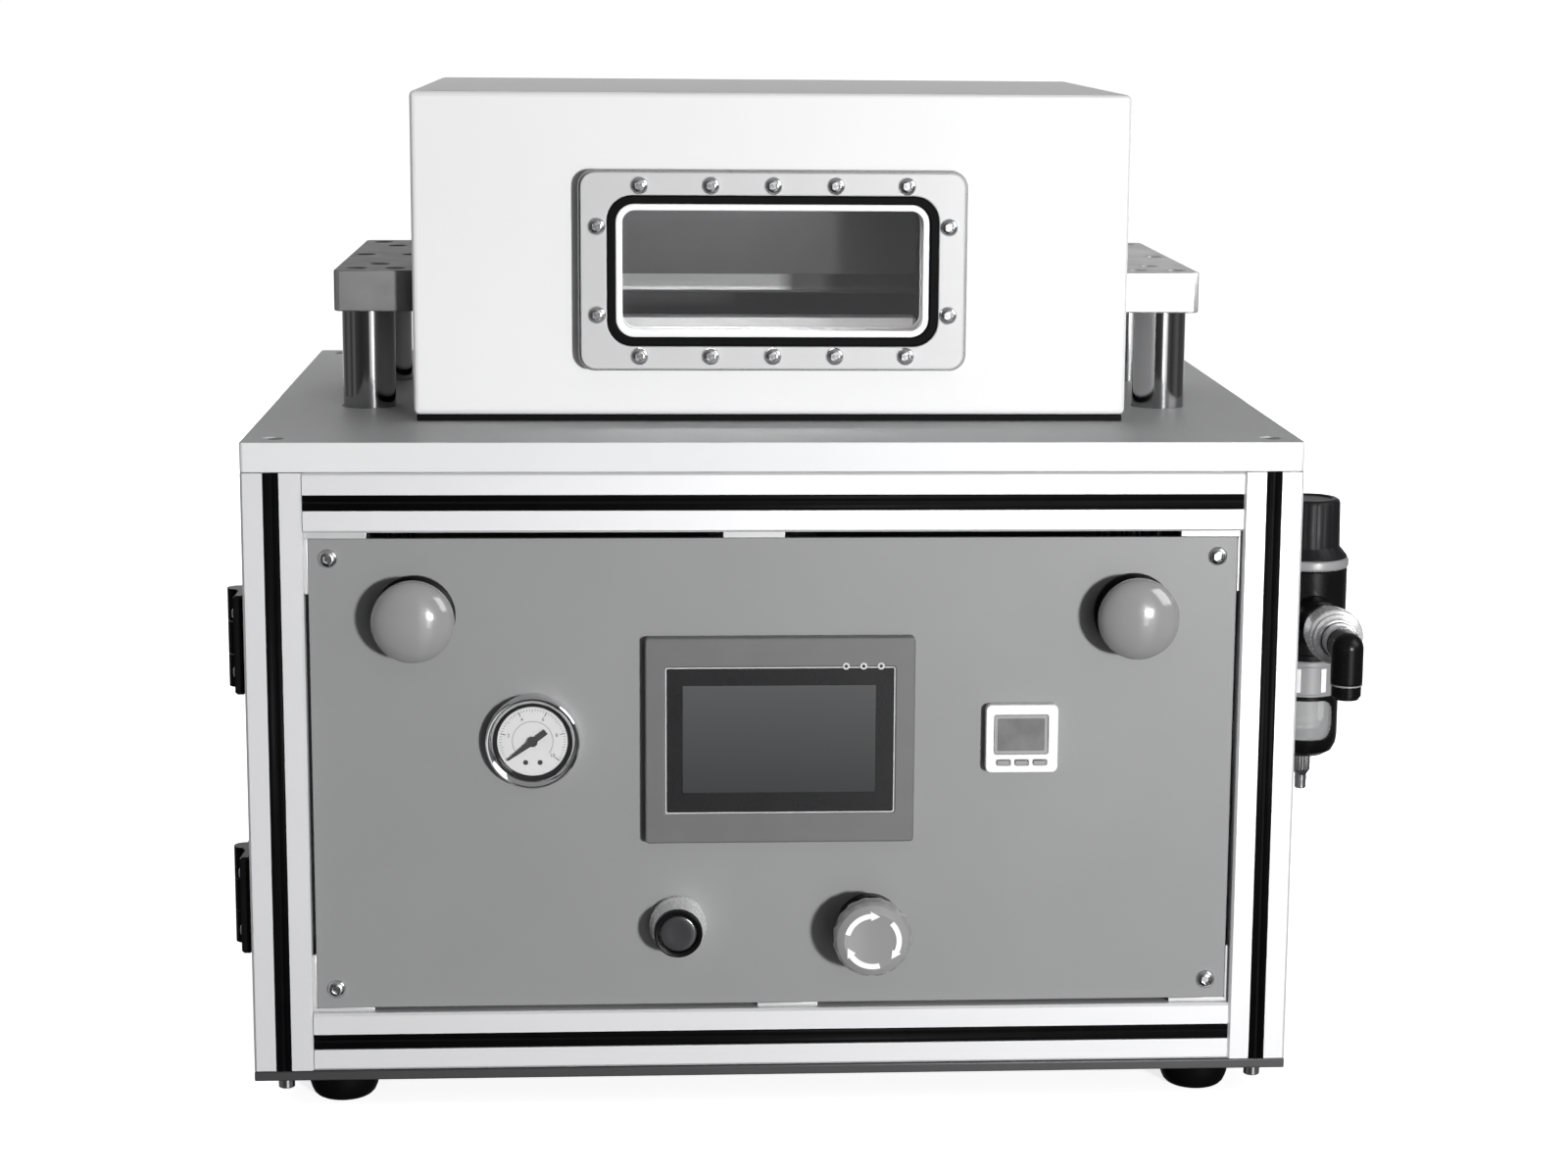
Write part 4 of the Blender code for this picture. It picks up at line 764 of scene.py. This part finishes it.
def make_jaws():
    """The sealing jaws, with the light strips that show through the window; the lower strip's glow is painted
    light.
    """
    wear("lower_jaw", MILLED)
    wear("upper_jaw", JAW_BLACK)
    wear("jaw_cylinder", JAW_BLACK)
    lower = Span("lower_jaw")
    length = lower.size.x - 0.004
    thick = 0.001
    # the lower strip glows: painted light
    soft_box("lower_strip", (length, thick, 0.0066), (0, lower.low.y - 0.0005, lower.high.z - 0.0034),
             STRIP, "cabinet", 0.0003)
    upper = Span("upper_jaw")
    # the upper strip's dark right half is painted shade
    soft_box("upper_strip", (length, thick, 0.0092), (0, upper.low.y - 0.0005, upper.low.z + 0.0064),
             HALF_SHADED_STRIP, "upper_jaw", 0.0003)
    shield_y = min(upper.low.y, Span("jaw_cylinder").low.y) - 0.001
    shield_low = upper.low.z + 0.0118
    shield_high = HOOD.high.z - 0.015
    soft_box("jaw_shield", (length, thick, shield_high - shield_low),
             (0, shield_y, (shield_low + shield_high) / 2), JAW_BLACK, "upper_jaw", 0.0003)
    lamp = (-0.04, HOOD.low.y + 0.0185, PANE.middle.z + 0.0385)
    soft_box("chamber_lamp_rail", (0.15, 0.01, 0.006), lamp, DARK_STEEL, "hood", 0.0008)
    soft_box("chamber_lamp", (0.14, 0.007, 0.002), (lamp[0], lamp[1], lamp[2] - 0.0036), LAMP, "hood",
             0.0005)


# --- controls -------------------------------------------------------------------------------------
def arc(count, start, stop):
    """Evenly spaced angles, from degrees."""
    return [math.radians(start + (stop - start) * i / (count - 1)) for i in range(count)]


def facing(name, profile, place, look, sides=72, ring=False):
    """A turned piece fixed to the front panel."""
    return lathe(name, profile, place, TO_FRONT, look, "cabinet", sides, ring)


def make_palm_buttons():
    for side in SIDES:
        node = f"{side}_palm_button"
        button = Span(node)
        r = button.size.x / 2
        top = FACE - button.low.y
        under = top - 0.014
        crown = [(r * math.sin(a), under + 0.004 + 0.01 * math.cos(a)) for a in arc(15, 0, 90)]
        crown[0] = (0, top)
        profile = crown + [(r, under + 0.001), (r - 0.0003, under + 0.0003), (r - 0.0012, under),
                           (0.006, under), (0.006, under - 0.0185), (0, under - 0.0185)]
        place = (button.middle.x, FACE, button.middle.z)
        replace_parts(lathe(f"{node}_fine", profile, place, TO_FRONT, DOME, node, 96), node)
        collar = f"{side}_palm_collar"
        cr = 0.0175
        profile = [(NECK_BORE, 0.008), (cr - 0.001, 0.008), (cr, 0.007), (cr, 0.004), (0.0198, 0.003),
                   (0.0202, 0.0025), (0.0202, GAP), *SHANK]
        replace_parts(facing(f"{collar}_fine", profile, place, BLACK, ring=True), collar)


def make_start_button():
    place = (START.middle.x, FACE, START.middle.z)
    h = FACE - START.low.y
    profile = [(0.0097, h - 0.0042), (0.0124, h - 0.0042), (0.0126, h - 0.0048), (0.0138, 0.0062),
               (0.0141, 0.0052), (0.0145, 0.0044), (0.0145, GAP), *SHANK, (NECK_BORE, h - 0.008),
               (0.0097, h - 0.008)]
    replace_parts(facing("start_bezel_fine", profile, place, COUPLING, ring=True), "start_button_bezel")
    guard = [(0.0097, h - 0.001), (0.0104, h - 0.0002), (0.0114, h), (0.012, h - 0.0004),
             (0.0123, h - 0.0012), (0.0123, h - 0.004), (0.0097, h - 0.004)]
    facing("start_guard", guard, place, BLACK, ring=True)
    front = FACE - Span("start_button").low.y
    cap = [(0, front - 0.0002), (0.005, front - 0.0003), (0.0078, front), (0.0088, front - 0.0003),
           (0.0093, front - 0.001), (0.0093, front - 0.003), (0.006, front - 0.003), (0.006, h - 0.018),
           (0, h - 0.018)]
    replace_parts(lathe("start_cap_fine", cap, place, TO_FRONT, DARK_CAP, "start_button", 64), "start_button")


def arrow_outline(radius, width, start, stop):
    """A curved arrow: a band between two angles in degrees, with a head at its end."""
    inner, outer = radius - width / 2, radius + width / 2
    head = width * 0.4
    angles = arc(14, start, stop)
    tip = math.radians(stop + (20 if stop > start else -20))
    points = [polar(outer, angle) for angle in angles]
    points += [polar(outer + head, angles[-1]), polar(radius, tip), polar(inner - head, angles[-1])]
    return points + [polar(inner, angle) for angle in reversed(angles)]


def make_estop():
    place = (ESTOP.middle.x, FACE, ESTOP.middle.z)
    collar = [(NECK_BORE, 0.01), (0.014, 0.01), (0.0145, 0.0095), (0.0145, 0.0062), (0.016, 0.006),
              (0.0165, 0.0055), (0.0165, GAP), *SHANK]
    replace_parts(facing("estop_collar_fine", collar, place, BLACK, ring=True), "estop_collar")
    wear("estop_stem", BLACK)
    r = ESTOP.size.x / 2
    top = FACE - ESTOP.low.y
    under = FACE - ESTOP.high.y
    head = [(0, top - 0.001), (r * 0.3, top - 0.0009), (r * 0.6, top - 0.0005), (r * 0.72, top - 0.0003),
            (r * 0.8, top - 0.0009), (r * 0.9, top - 0.002), (r * 0.97, top - 0.004), (r, top - 0.0062),
            (r, under + 0.004), (r * 0.985, under + 0.0022), (r * 0.95, under + 0.0008), (r * 0.9, under),
            (0, under)]

    def grip(radius, height, angle):
        on_skirt = radius > r * 0.95 and height < top - 0.0045
        return 1 - 0.0005 / r * wave(16, angle) if on_skirt else 1

    piece = add("estop_head_fine", ridged_mesh("estop_head", head, 96, grip), place, TO_FRONT, DOME,
                "estop_button")
    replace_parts(piece, "estop_button")
    for count in range(3):
        start = 165 - 120 * count
        outline = list(reversed(arrow_outline(r * 0.66, 0.0027, start, start - 70)))
        flat(f"estop_arrow_{count}", [outline], 0.001, (place[0], FACE - top + 0.0005, place[2]), TO_FRONT,
             ARROW_WHITE, "estop_button")


def make_gauge():
    """Case, bezel ring with painted shade on its inner wall, dial with ticks and numbers, needle and lens."""
    place = (GAUGE.middle.x, FACE, GAUGE.middle.z)
    r = GAUGE.size.x / 2
    front = FACE - GAUGE.low.y
    dial = front - 0.005
    case = [(0, dial - 0.0002), (0.0182, dial - 0.0002), (0.0185, dial + 0.0004), (0.02, front - 0.0026),
            (0.0214, front - 0.0008), (0.0222, front - 0.0001), (0.0228, front),
            (r - 0.0003, front - 0.0006), (r, front - 0.0016), (r, GAP), (0.0203, GAP), (0.0203, -0.029),
            (0, -0.029)]
    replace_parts(facing("gauge_case_fine", case, place, CHROME, 96), "gauge_case")
    face = [(0, dial), (DIAL_RADIUS, dial), (DIAL_RADIUS + 0.0002, dial - 0.0001), (0, dial - 0.0001)]
    facing("gauge_dial", face, place, DIAL)
    # a black ring over the bezel's inner wall: painted shade
    rim = [(0.0177, dial + 0.0001), (0.0178, dial + 0.0007), (0.0192, dial + 0.0021),
           (0.0204, dial + 0.0026), (0.0204, dial + 0.0001)]
    facing("gauge_inner_rim_shade", rim, place, GAUGE_RIM_SHADE, 96, ring=True)
    ink_y = FACE - dial - 0.00005

    def on_dial(reach, angle):
        across, up = polar(reach, angle)
        return place[0] + across, ink_y, place[2] + up

    ink = 0.00008                   # thickness of the print
    tick_end = 0.0166
    for count in range(DIAL_TICKS + 1):
        angle = math.radians(DIAL_START - DIAL_SWEEP * count / DIAL_TICKS)
        length = 0.0026 if count % 10 == 0 else 0.0018 if count % 5 == 0 else 0.0011
        width = 0.0004 if count % 10 == 0 else 0.0002
        soft_box(f"gauge_tick_{count}", (length, ink, width), on_dial(tick_end - length / 2, angle), INK,
                 "cabinet", 0.00001, (0, -angle, 0))
    for count in range(6):
        angle = math.radians(DIAL_START - DIAL_SWEEP * count / 5)
        number(str(count * 2), 0.0026, on_dial(0.0124, angle))
    bearings = arc(60, DIAL_START, DIAL_START - DIAL_SWEEP)
    band = [polar(0.0104, angle) for angle in reversed(bearings)]
    band += [polar(0.01, angle) for angle in bearings]
    sheet("gauge_scale_arc", [band], ink, (place[0], ink_y, place[2]), PALE_INK)
    for count, dx in enumerate((-0.0036, 0.0036)):
        screw = [(0, 0.0003), (0.0011, 0.0003), (0.0013, 0.0), (0, 0.0)]
        lathe(f"gauge_dial_screw_{count}", screw, (place[0] + dx, FACE - dial, place[2] - 0.011), TO_FRONT,
              INK, "cabinet", 24)
    lens = [(0, front - 0.001), (0.01, front - 0.0012), (0.0206, front - 0.0018), (0.0206, front - 0.0024),
            (0.01, front - 0.0018), (0, front - 0.0016)]
    facing("gauge_lens", lens, place, LENS)
    wear("gauge_needle", INK)


def number(text, height, place):
    """A generic printed number, centred on a point and facing the front."""
    curve = bpy.data.curves.new(f"number_{text}", "FONT")
    curve.body = text
    curve.size = height
    curve.align_x = "CENTER"
    curve.align_y = "CENTER"
    curve.extrude = 0.00003
    mesh = curve_mesh(f"number_{text}", curve)
    mesh.materials.clear()
    add(f"gauge_number_{text}", mesh, place, TO_FRONT, INK, "cabinet")


def make_screen():
    """The terminal: raised bezel, dark border, unlit display and three ring lamps."""
    x, z = SCREEN.middle.x, SCREEN.middle.z
    w, h = SCREEN.size.x, SCREEN.size.z
    front = SCREEN.low.y
    glass_w, glass_h = 0.1154, 0.0752
    low = z + 0.0002
    bezel = sheet("screen_bezel", [rounded(w, h, 0.002), rounded(glass_w, glass_h, 0.0012, 0, low - z)],
                  FACE - front - GAP, (x, (front + FACE - GAP) / 2, z), BEZEL, 0.0009)
    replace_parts(bezel, "touch_screen")
    sheet("screen_border", [rounded(glass_w, glass_h, 0.0008)], 0.004, (x, front + 0.0033, low), BEZEL_DARK)
    sheet("screen_line",
          [rounded(glass_w + 0.0003, glass_h + 0.0003, 0.0012),
           rounded(glass_w - 0.0009, glass_h - 0.0009, 0.0008)], 0.001, (x, front + 0.0007, low),
          BEZEL_LINE, 0.0002)
    # the display's lighter top is painted reflection
    sheet("screen_display", [rounded(0.0972, 0.0552, 0.0006)], 0.0006,
          (x - 0.0005, front + 0.0012, low + 0.0006), SHEENED_DISPLAY)
    soft_box("screen_rear_box", (0.118, SCREEN.high.y - FACE, 0.092), (x, (SCREEN.high.y + FACE) / 2, z),
             BLACK, "cabinet", 0.0015)
    lamp_x, lamp_pitch = x + 0.033, 0.0088
    ring = [(0.0009, 0.0003), (0.0017, 0.0003), (0.0018, 0.0), (0.0008, 0.0)]
    lamp = [(0, 0.0002), (0.0008, 0.0002), (0.0008, 0.0), (0, 0.0)]
    for count in range(3):
        spot = (lamp_x + lamp_pitch * count, front - 0.0001, low + glass_h / 2 + 0.0006)
        facing(f"screen_lamp_ring_{count}", ring, spot, BEZEL_LINE, 24, ring=True)
        facing(f"screen_lamp_{count}", lamp, spot, SHADE, 24)


def make_switch():
    """The pressure switch: a white face with a grey display and three keys."""
    x, z = SWITCH.middle.x, SWITCH.middle.z
    w, h = SWITCH.size.x, SWITCH.size.z
    front = SWITCH.low.y
    keys = {name: Span(f"{name}_switch_key") for name in ("left", "middle", "right")}
    dx, dz = -0.0004, 0.0021        # from the face's middle to the display's
    holes = [rounded(0.0276, 0.0204, 0.0012, dx, dz)]
    holes += [rounded(key.size.x + 0.0006, key.size.z + 0.0006, 0.001, key.middle.x - x, key.middle.z - z)
              for key in keys.values()]
    body = sheet("switch_face", [rounded(w, h, 0.003), *holes], FACE - front - GAP,
                 (x, (front + FACE - GAP) / 2, z), WHITE_PLASTIC, 0.0007)
    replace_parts(body, "pressure_switch")
    soft_box("switch_rear_box", (0.03, SWITCH.high.y - FACE + 0.003, 0.03),
             (x, (SWITCH.high.y + FACE - 0.003) / 2, z), WHITE_PLASTIC, "cabinet", 0.001)
    sheet("switch_display", [rounded(0.0272, 0.02, 0.001)], 0.002, (x + dx, front + 0.0016, z + dz),
          LCD_RIM, 0.0002)
    sheet("switch_display_inner", [rounded(0.024, 0.0168, 0.0008)], 0.0002,
          (x + dx, front + 0.00055, z + dz), LCD)
    for name, key in keys.items():
        piece = flat(f"{name}_key_fine", [rounded(key.size.x, key.size.z, 0.0008)], key.size.y, key.middle,
                     TO_FRONT, KEY_GREY, f"{name}_switch_key", 0.0003)
        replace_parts(piece, f"{name}_switch_key")


# --- air unit -------------------------------------------------------------------------------------
def make_air_unit():
    """The round body with its grey ring, ports and lug, and the nipple that carries the inlet sleeve."""
    sleeve = Span("inlet_sleeve")
    bottom = BOWL.high.z + GAP
    ring_top = UNIT.high.z
    top = ring_top - UNIT_RING
    r = UNIT_RADIUS
    body = [(0, top - bottom), (r - 0.001, top - bottom), (r, top - bottom - 0.001), (r, 0.012),
            (r - 0.0006, 0.0114), (r - 0.0006, 0.004), (r, 0.0034), (r, 0.001), (r - 0.001, 0), (0, 0)]
    place = (UNIT_X, UNIT_Y, bottom)
    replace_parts(lathe("unit_body", body, place, UPRIGHT, BLACK, "cabinet", 96), "filter_regulator_body")
    ring = [(0, UNIT_RING), (0.0216, UNIT_RING), (0.0226, 0.0048), (0.0228, 0.004), (0.0228, 0.001), (r, 0),
            (0, 0)]
    lathe("unit_ring", ring, (UNIT_X, UNIT_Y, top), UPRIGHT, COLLAR, "cabinet", 96)
    port = (UNIT_X, UNIT_Y, sleeve.middle.z)
    lug_end = UNIT_X - PORT_RADIUS
    soft_box("unit_lug", (lug_end - UNIT.low.x, 0.029, 0.03), ((UNIT.low.x + lug_end) / 2, *port[1:]),
             BRIGHT, "cabinet", 0.0012)
    reach = PORT_REACH
    boss = [(0, reach), (0.0112, reach), (0.012, reach - 0.0006), (PORT_RADIUS, reach - 0.0016),
            (PORT_RADIUS, 0), (0, 0)]
    for name, turn in (("front", TO_FRONT), ("rear", TO_REAR)):
        lathe(f"{name}_port", boss, port, turn, BLACK, "cabinet", 64)
    plug = [(0, reach - 0.001), (0.005, reach - 0.001), (0.005, reach + 0.0012), (0.0088, reach + 0.0012),
            (0.0094, reach + 0.0006), (0.0094, reach - 0.001)]
    lathe("rear_port_plug", plug, port, TO_REAR, BRIGHT, "cabinet", 36, ring=True, facets=(1, 2))
    length = UNIT_Y - UNIT.low.y
    nipple = [(0, length), (0.0088, length), (0.0095, length - 0.0007), (0.0095, reach - 0.001),
              (0, reach - 0.001)]
    lathe("inlet_nipple", nipple, port, TO_FRONT, BRIGHT, "cabinet", 48)
    nut = [(0.0092, reach), (0.0122, reach), (0.0122, reach + 0.012), (0.0114, reach + 0.0128),
           (0.0092, reach + 0.0128)]
    lathe("inlet_nut", nut, port, TO_FRONT, BLACK, "cabinet", 64, ring=True)
    make_unit_knob()
    make_bowl()
    make_sleeve(sleeve)
    make_elbow()


def make_unit_knob():
    skirt = KNOB.size.x / 2
    r = 0.0175
    h = KNOB.size.z - 0.006
    low = KNOB.low.z + 0.006
    profile = [(0, h - 0.0008), (r - 0.0052, h - 0.0008), (r - 0.0046, h), (r - 0.0024, h),
               (r - 0.001, h - 0.0008), (r - 0.0004, h - 0.0022), (r, 0.006), (r + 0.0004, 0.0052),
               (skirt - 0.0004, 0.001), (skirt, 0.0005), (skirt, 0.0), (0.006, 0.0), (0.006, -0.006),
               (0, -0.006)]

    def ribs(radius, height, angle):
        on_grip = r - 0.0012 < radius < r + 0.0006
        return 1 - 0.0003 / r * (1 - wave(22, angle) ** 0.35) if on_grip else 1

    piece = add("regulator_knob_fine", ridged_mesh("knob", profile, 180, ribs), (UNIT_X, UNIT_Y, low),
                UPRIGHT, KNOB_BLACK, "regulator_knob")
    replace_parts(piece, "regulator_knob")


def make_bowl():
    """The bowl: ribbed collar, black guard with windows, clear cup, filter element, and the drain below."""
    top = BOWL.high.z
    r = BOWL.size.x / 2
    h = BOWL.size.z

    def turned(name, profile, look, sides, ring=True):
        return lathe(name, profile, (UNIT_X, UNIT_Y, top), UPRIGHT, look, "filter_bowl", sides, ring)

    collar = [(0.012, 0), (r - 0.0008, 0), (r, -0.0008), (r, -0.003), (r - 0.001, -0.0036),
              (r - 0.001, -0.019), (r - 0.0004, -0.0196), (r - 0.0004, -0.0206), (r - 0.0014, -0.021),
              (0.012, -0.021)]
    piece = turned("bowl_collar_fine", collar, COLLAR, 96)
    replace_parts(piece, "filter_bowl")
    for count in range(8):
        angle = math.tau * (count + 0.5) / 8
        across, along = polar(r - 0.0008, angle)
        spot = (UNIT_X + across, UNIT_Y + along, top - 0.0113)
        soft_box(f"bowl_collar_rib_{count}", (0.0012, 0.0034, 0.0136), spot, WHITE_PLASTIC, "filter_bowl",
                 0.0004, (0, 0, angle))
    outer = r - 0.0022
    cup = [(outer, -0.01), (outer, -h + 0.013), (outer - 0.0006, -h + 0.008), (outer - 0.0026, -h + 0.0038),
           (outer - 0.006, -h + 0.0016), (0.0038, -h + 0.001), (0.0038, -h + 0.002),
           (outer - 0.01, -h + 0.0026), (outer - 0.005, -h + 0.0056), (outer - 0.003, -h + 0.0095),
           (outer - 0.0022, -h + 0.015), (outer - 0.0022, -0.01)]
    turned("bowl_cup", cup, BOWL_CLEAR, 72)
    shell = [(r - 0.0018, -0.0205), (r - 0.0004, -0.0205), (r - 0.0004, -h + 0.012),
             (r - 0.001, -h + 0.0075), (r - 0.0032, -h + 0.0032), (r - 0.0075, -h + 0.0006),
             (r - 0.0105, -h), (0.005, -h), (0.005, -h + 0.0012), (r - 0.011, -h + 0.0012),
             (r - 0.008, -h + 0.0018), (r - 0.0044, -h + 0.0042), (r - 0.0024, -h + 0.008),
             (r - 0.0018, -h + 0.0125)]
    guard = turned("bowl_guard", shell, BLACK, 96)
    cutters = []
    for count, side in enumerate((-1, 1)):
        window = flat(f"guard_window_{count}", [rounded(0.03, 0.023, 0.008)], 0.024,
                      (UNIT_X, UNIT_Y + side * r, top - 0.0345), TO_FRONT, BLACK, "filter_bowl")
        cutters.append(window)
    cut(guard, cutters)
    element = [(0, -0.008), (0.0085, -0.008), (0.0085, -0.038), (0.01, -0.0386), (0.01, -0.041),
               (0, -0.041)]
    turned("filter_element", element, FILTER, 48, ring=False)
    drain = Span("drain_valve")
    low = drain.low.z
    nut = BOWL.low.z - GAP - low
    profile = [(0, nut + 0.008), (0.0032, nut + 0.008), (0.0032, nut), (0.005, nut), (0.0052, nut - 0.0003),
               (0.0052, nut * 0.56), (0.0048, nut * 0.52), (0.0034, nut * 0.42), (0.0032, nut * 0.38),
               (0.0034, nut * 0.3), (0.0032, nut * 0.22), (0.0032, 0.0006), (0.0027, 0), (0.0014, 0),
               (0.0014, 0.004), (0, 0.004)]

    def ribs(radius, height, angle):
        return 1 - 0.0004 * (1 - wave(16, angle) ** 0.5) / radius if radius > 0.0045 else 1

    piece = add("drain_fine", ridged_mesh("drain", profile, 96, ribs), (UNIT_X, UNIT_Y, low), UPRIGHT,
                BRIGHT, "drain_valve")
    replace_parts(piece, "drain_valve")


def make_sleeve(sleeve):
    r = sleeve.size.x / 2
    length = sleeve.size.y
    profile = [(0.0099, length), (r - 0.0046, length), (r - 0.004, length - 0.0008),
               (r - 0.0036, length - 0.003), (r - 0.0022, length - 0.0036), (r - 0.0018, length - 0.006),
               (r - 0.0006, length - 0.0066), (r, length - 0.0076), (r, length - 0.015),
               (r - 0.001, length - 0.0158), (r - 0.001, 0.002), (r - 0.002, 0.0004), (r - 0.003, 0.0),
               (0.0099, 0.0)]
    piece = lathe("inlet_sleeve_fine", profile, (UNIT_X, sleeve.high.y, sleeve.middle.z), TO_FRONT,
                  COUPLING, "inlet_sleeve", 96, ring=True)
    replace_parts(piece, "inlet_sleeve")


def make_elbow():
    """The push-in elbow: a hub, a ball corner, a leg, and the release ring in its open end."""
    elbow = Span("elbow_fitting")
    r = ELBOW_RADIUS
    hub_z = elbow.high.z - r
    leg_y = elbow.low.y + r
    hub_length = elbow.high.y - leg_y
    corner = (UNIT_X, leg_y, hub_z)
    hub = [(0, 0), (r, 0), (r, hub_length - 0.0006), (r - 0.0006, hub_length), (0, hub_length)]
    piece = lathe("elbow_hub", hub, corner, TO_REAR, BLACK, "elbow_fitting")
    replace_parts(piece, "elbow_fitting")
    ball = [(r * math.sin(a), r * math.cos(a)) for a in arc(17, 0, 180)]
    ball[0] = (0, r)
    ball[-1] = (0, -r)
    lathe("elbow_corner", ball, corner, TO_REAR, BLACK, "elbow_fitting")
    drop = hub_z - elbow.low.z
    leg = [(0.0042, drop - 0.012), (0.0042, drop), (0.0072, drop), (0.008, drop - 0.0006),
           (0.008, drop - 0.007), (r, drop - 0.008), (r, 0), (0, 0), (0, drop - 0.012)]
    lathe("elbow_leg", leg, corner, DOWNWARD, BLACK, "elbow_fitting")
    collet = [(0.0043, drop - 0.006), (0.0043, drop + 0.0012), (0.0066, drop + 0.0012),
              (0.007, drop + 0.0008), (0.007, drop), (0.0052, drop - 0.0002), (0.0052, drop - 0.006)]
    lathe("elbow_release_ring", collet, corner, DOWNWARD, BLACK, "elbow_fitting", 48, ring=True)
    band = [(0.0076, drop - 0.0072), (0.0086, drop - 0.0072), (0.0086, drop - 0.0064),
            (0.0076, drop - 0.0064)]
    lathe("elbow_band", band, corner, DOWNWARD, COLLAR, "elbow_fitting", 48, ring=True)


# --- studio ---------------------------------------------------------------------------------------
def glowing_stage(name, shape, colour, glow, place):
    """A pale surface that glows, so that shadows stay faint, and that lights nothing else."""
    mesh = bpy.data.meshes.new(name)
    shape.to_mesh(mesh)
    shape.free()
    look = bpy.data.materials.new(f"pale_{name}")
    look.use_nodes = True
    shader = look.node_tree.nodes["Principled BSDF"]
    shader.inputs["Base Color"].default_value = (*colour, 1)
    shader.inputs["Roughness"].default_value = 0.9
    shader.inputs["Specular IOR Level"].default_value = 0.1
    shader.inputs["Emission Color"].default_value = (1, 1, 1, 1)
    shader.inputs["Emission Strength"].default_value = glow
    mesh.materials.append(look)
    stage = bpy.data.objects.new(name, mesh)
    stage.location = place
    stage.visible_diffuse = False
    stage.visible_glossy = False
    bpy.context.scene.collection.objects.link(stage)
    return stage


def make_floor():
    shape = bmesh.new()
    bmesh.ops.create_grid(shape, x_segments=1, y_segments=1, size=30.0)
    glowing_stage("floor", shape, (0.86, 0.86, 0.86), FLOOR_GLOW, (0, 0, -0.0002))


def make_backdrop():
    """A round pale wall that only hides the horizon: it casts no shadow and is not reflected."""
    shape = bmesh.new()
    bmesh.ops.create_cone(shape, cap_ends=False, segments=64, radius1=28.0, radius2=28.0, depth=30.0)
    wall = glowing_stage("backdrop", shape, (0.02, 0.02, 0.02), 1.0, (0, 0, 14.9))
    wall.visible_shadow = False


def curve_ramp(tree, value, stops, low, high):
    """A colour ramp that turns a value between low and high into grey levels at the given stops."""
    ramp = node(tree, "ValToRGB", {"Fac": remapped(tree, value, 0.0, 1.0, (low, high))})
    ramp.color_ramp.interpolation = "EASE"
    elements = ramp.color_ramp.elements
    while len(elements) < len(stops):
        elements.new(0.5)
    for element, (degrees, level) in zip(elements, stops):
        element.position = (math.radians(degrees) - low) / (high - low)
        element.color = (*grey(level), 1)
    return ramp.outputs["Color"]


def make_sky():
    """The studio's walls, with a bright window ahead on the right, under a dim ceiling."""
    world = bpy.data.worlds.new("studio")
    world.use_nodes = True
    tree = world.node_tree
    x, y, z = node(tree, "SeparateXYZ", {0: node(tree, "TexCoord", {}).outputs["Generated"]}).outputs
    ahead = node(tree, "Math", {0: y, 1: -1}, operation="MULTIPLY").outputs["Value"]
    bearing = node(tree, "Math", {0: x, 1: ahead}, operation="ARCTAN2").outputs["Value"]
    elevation = node(tree, "Math", {0: z}, operation="ARCSINE").outputs["Value"]
    wall = curve_ramp(tree, bearing, WALL, -math.pi, math.pi)
    rise = curve_ramp(tree, elevation, RISE, -math.pi / 2, math.pi / 2)
    walls = mixed(tree, 1.0, wall, rise, blend_type="MULTIPLY")
    overhead = remapped(tree, elevation, 0.0, 1.0, (math.radians(CEILING[0]), math.radians(CEILING[1])),
                        interpolation_type="SMOOTHSTEP")
    sky = mixed(tree, overhead, walls, (*grey(ZENITH_LIGHT), 1))
    tree.links.new(sky, tree.nodes["Background"].inputs["Color"])
    bpy.context.scene.world = world


def area_light(name, place, target, size, watts, height=None):
    data = bpy.data.lights.new(name, "AREA")
    data.size = size
    if height:
        data.shape = "RECTANGLE"
        data.size_y = height
    data.energy = watts
    light = bpy.data.objects.new(name, data)
    light.location = place
    light.rotation_euler = (Vector(target) - Vector(place)).to_track_quat("-Z", "Y").to_euler()
    bpy.context.scene.collection.objects.link(light)
    return light


def make_studio():
    make_floor()
    make_backdrop()
    make_sky()
    aim = (0, -0.1, 0.25)
    area_light("key", (1.45, -3.75, 0.5), aim, 0.26, KEY_WATTS)
    area_light("side_lamp", (1.1, -0.6, 0.95), aim, 0.8, LAMP_WATTS).visible_diffuse = False
    area_light("strip_lamp", (0.9, -2.9, 0.3), (0, 0, 0.4), 0.3, STRIP_WATTS, 1.6).visible_diffuse = False
    for side in (-1, 1):
        area_light("rear_lamp", (side * 0.9, 2.3, 0.9), (0, 0, 0.25), 1.8,
                   REAR_WATTS).visible_glossy = False
    data = bpy.data.cameras.new("camera")
    data.lens = CAMERA_LENS
    data.sensor_width = 36.0
    data.shift_x, data.shift_y = CAMERA_SHIFT
    camera = bpy.data.objects.new("camera", data)
    camera.location = ORIGIN + Vector(CAMERA_PLACE)
    camera.rotation_euler = [math.radians(angle) for angle in CAMERA_TURN]
    bpy.context.scene.collection.objects.link(camera)
    bpy.context.scene.camera = camera
    bpy.context.scene.view_settings.view_transform = "Standard"


make_frame()
make_plates()
make_feet()
make_panels()
make_door()
make_hood()
make_window()
make_lift()
make_jaws()
make_palm_buttons()
make_start_button()
make_estop()
make_gauge()
make_screen()
make_switch()
make_air_unit()
make_studio()
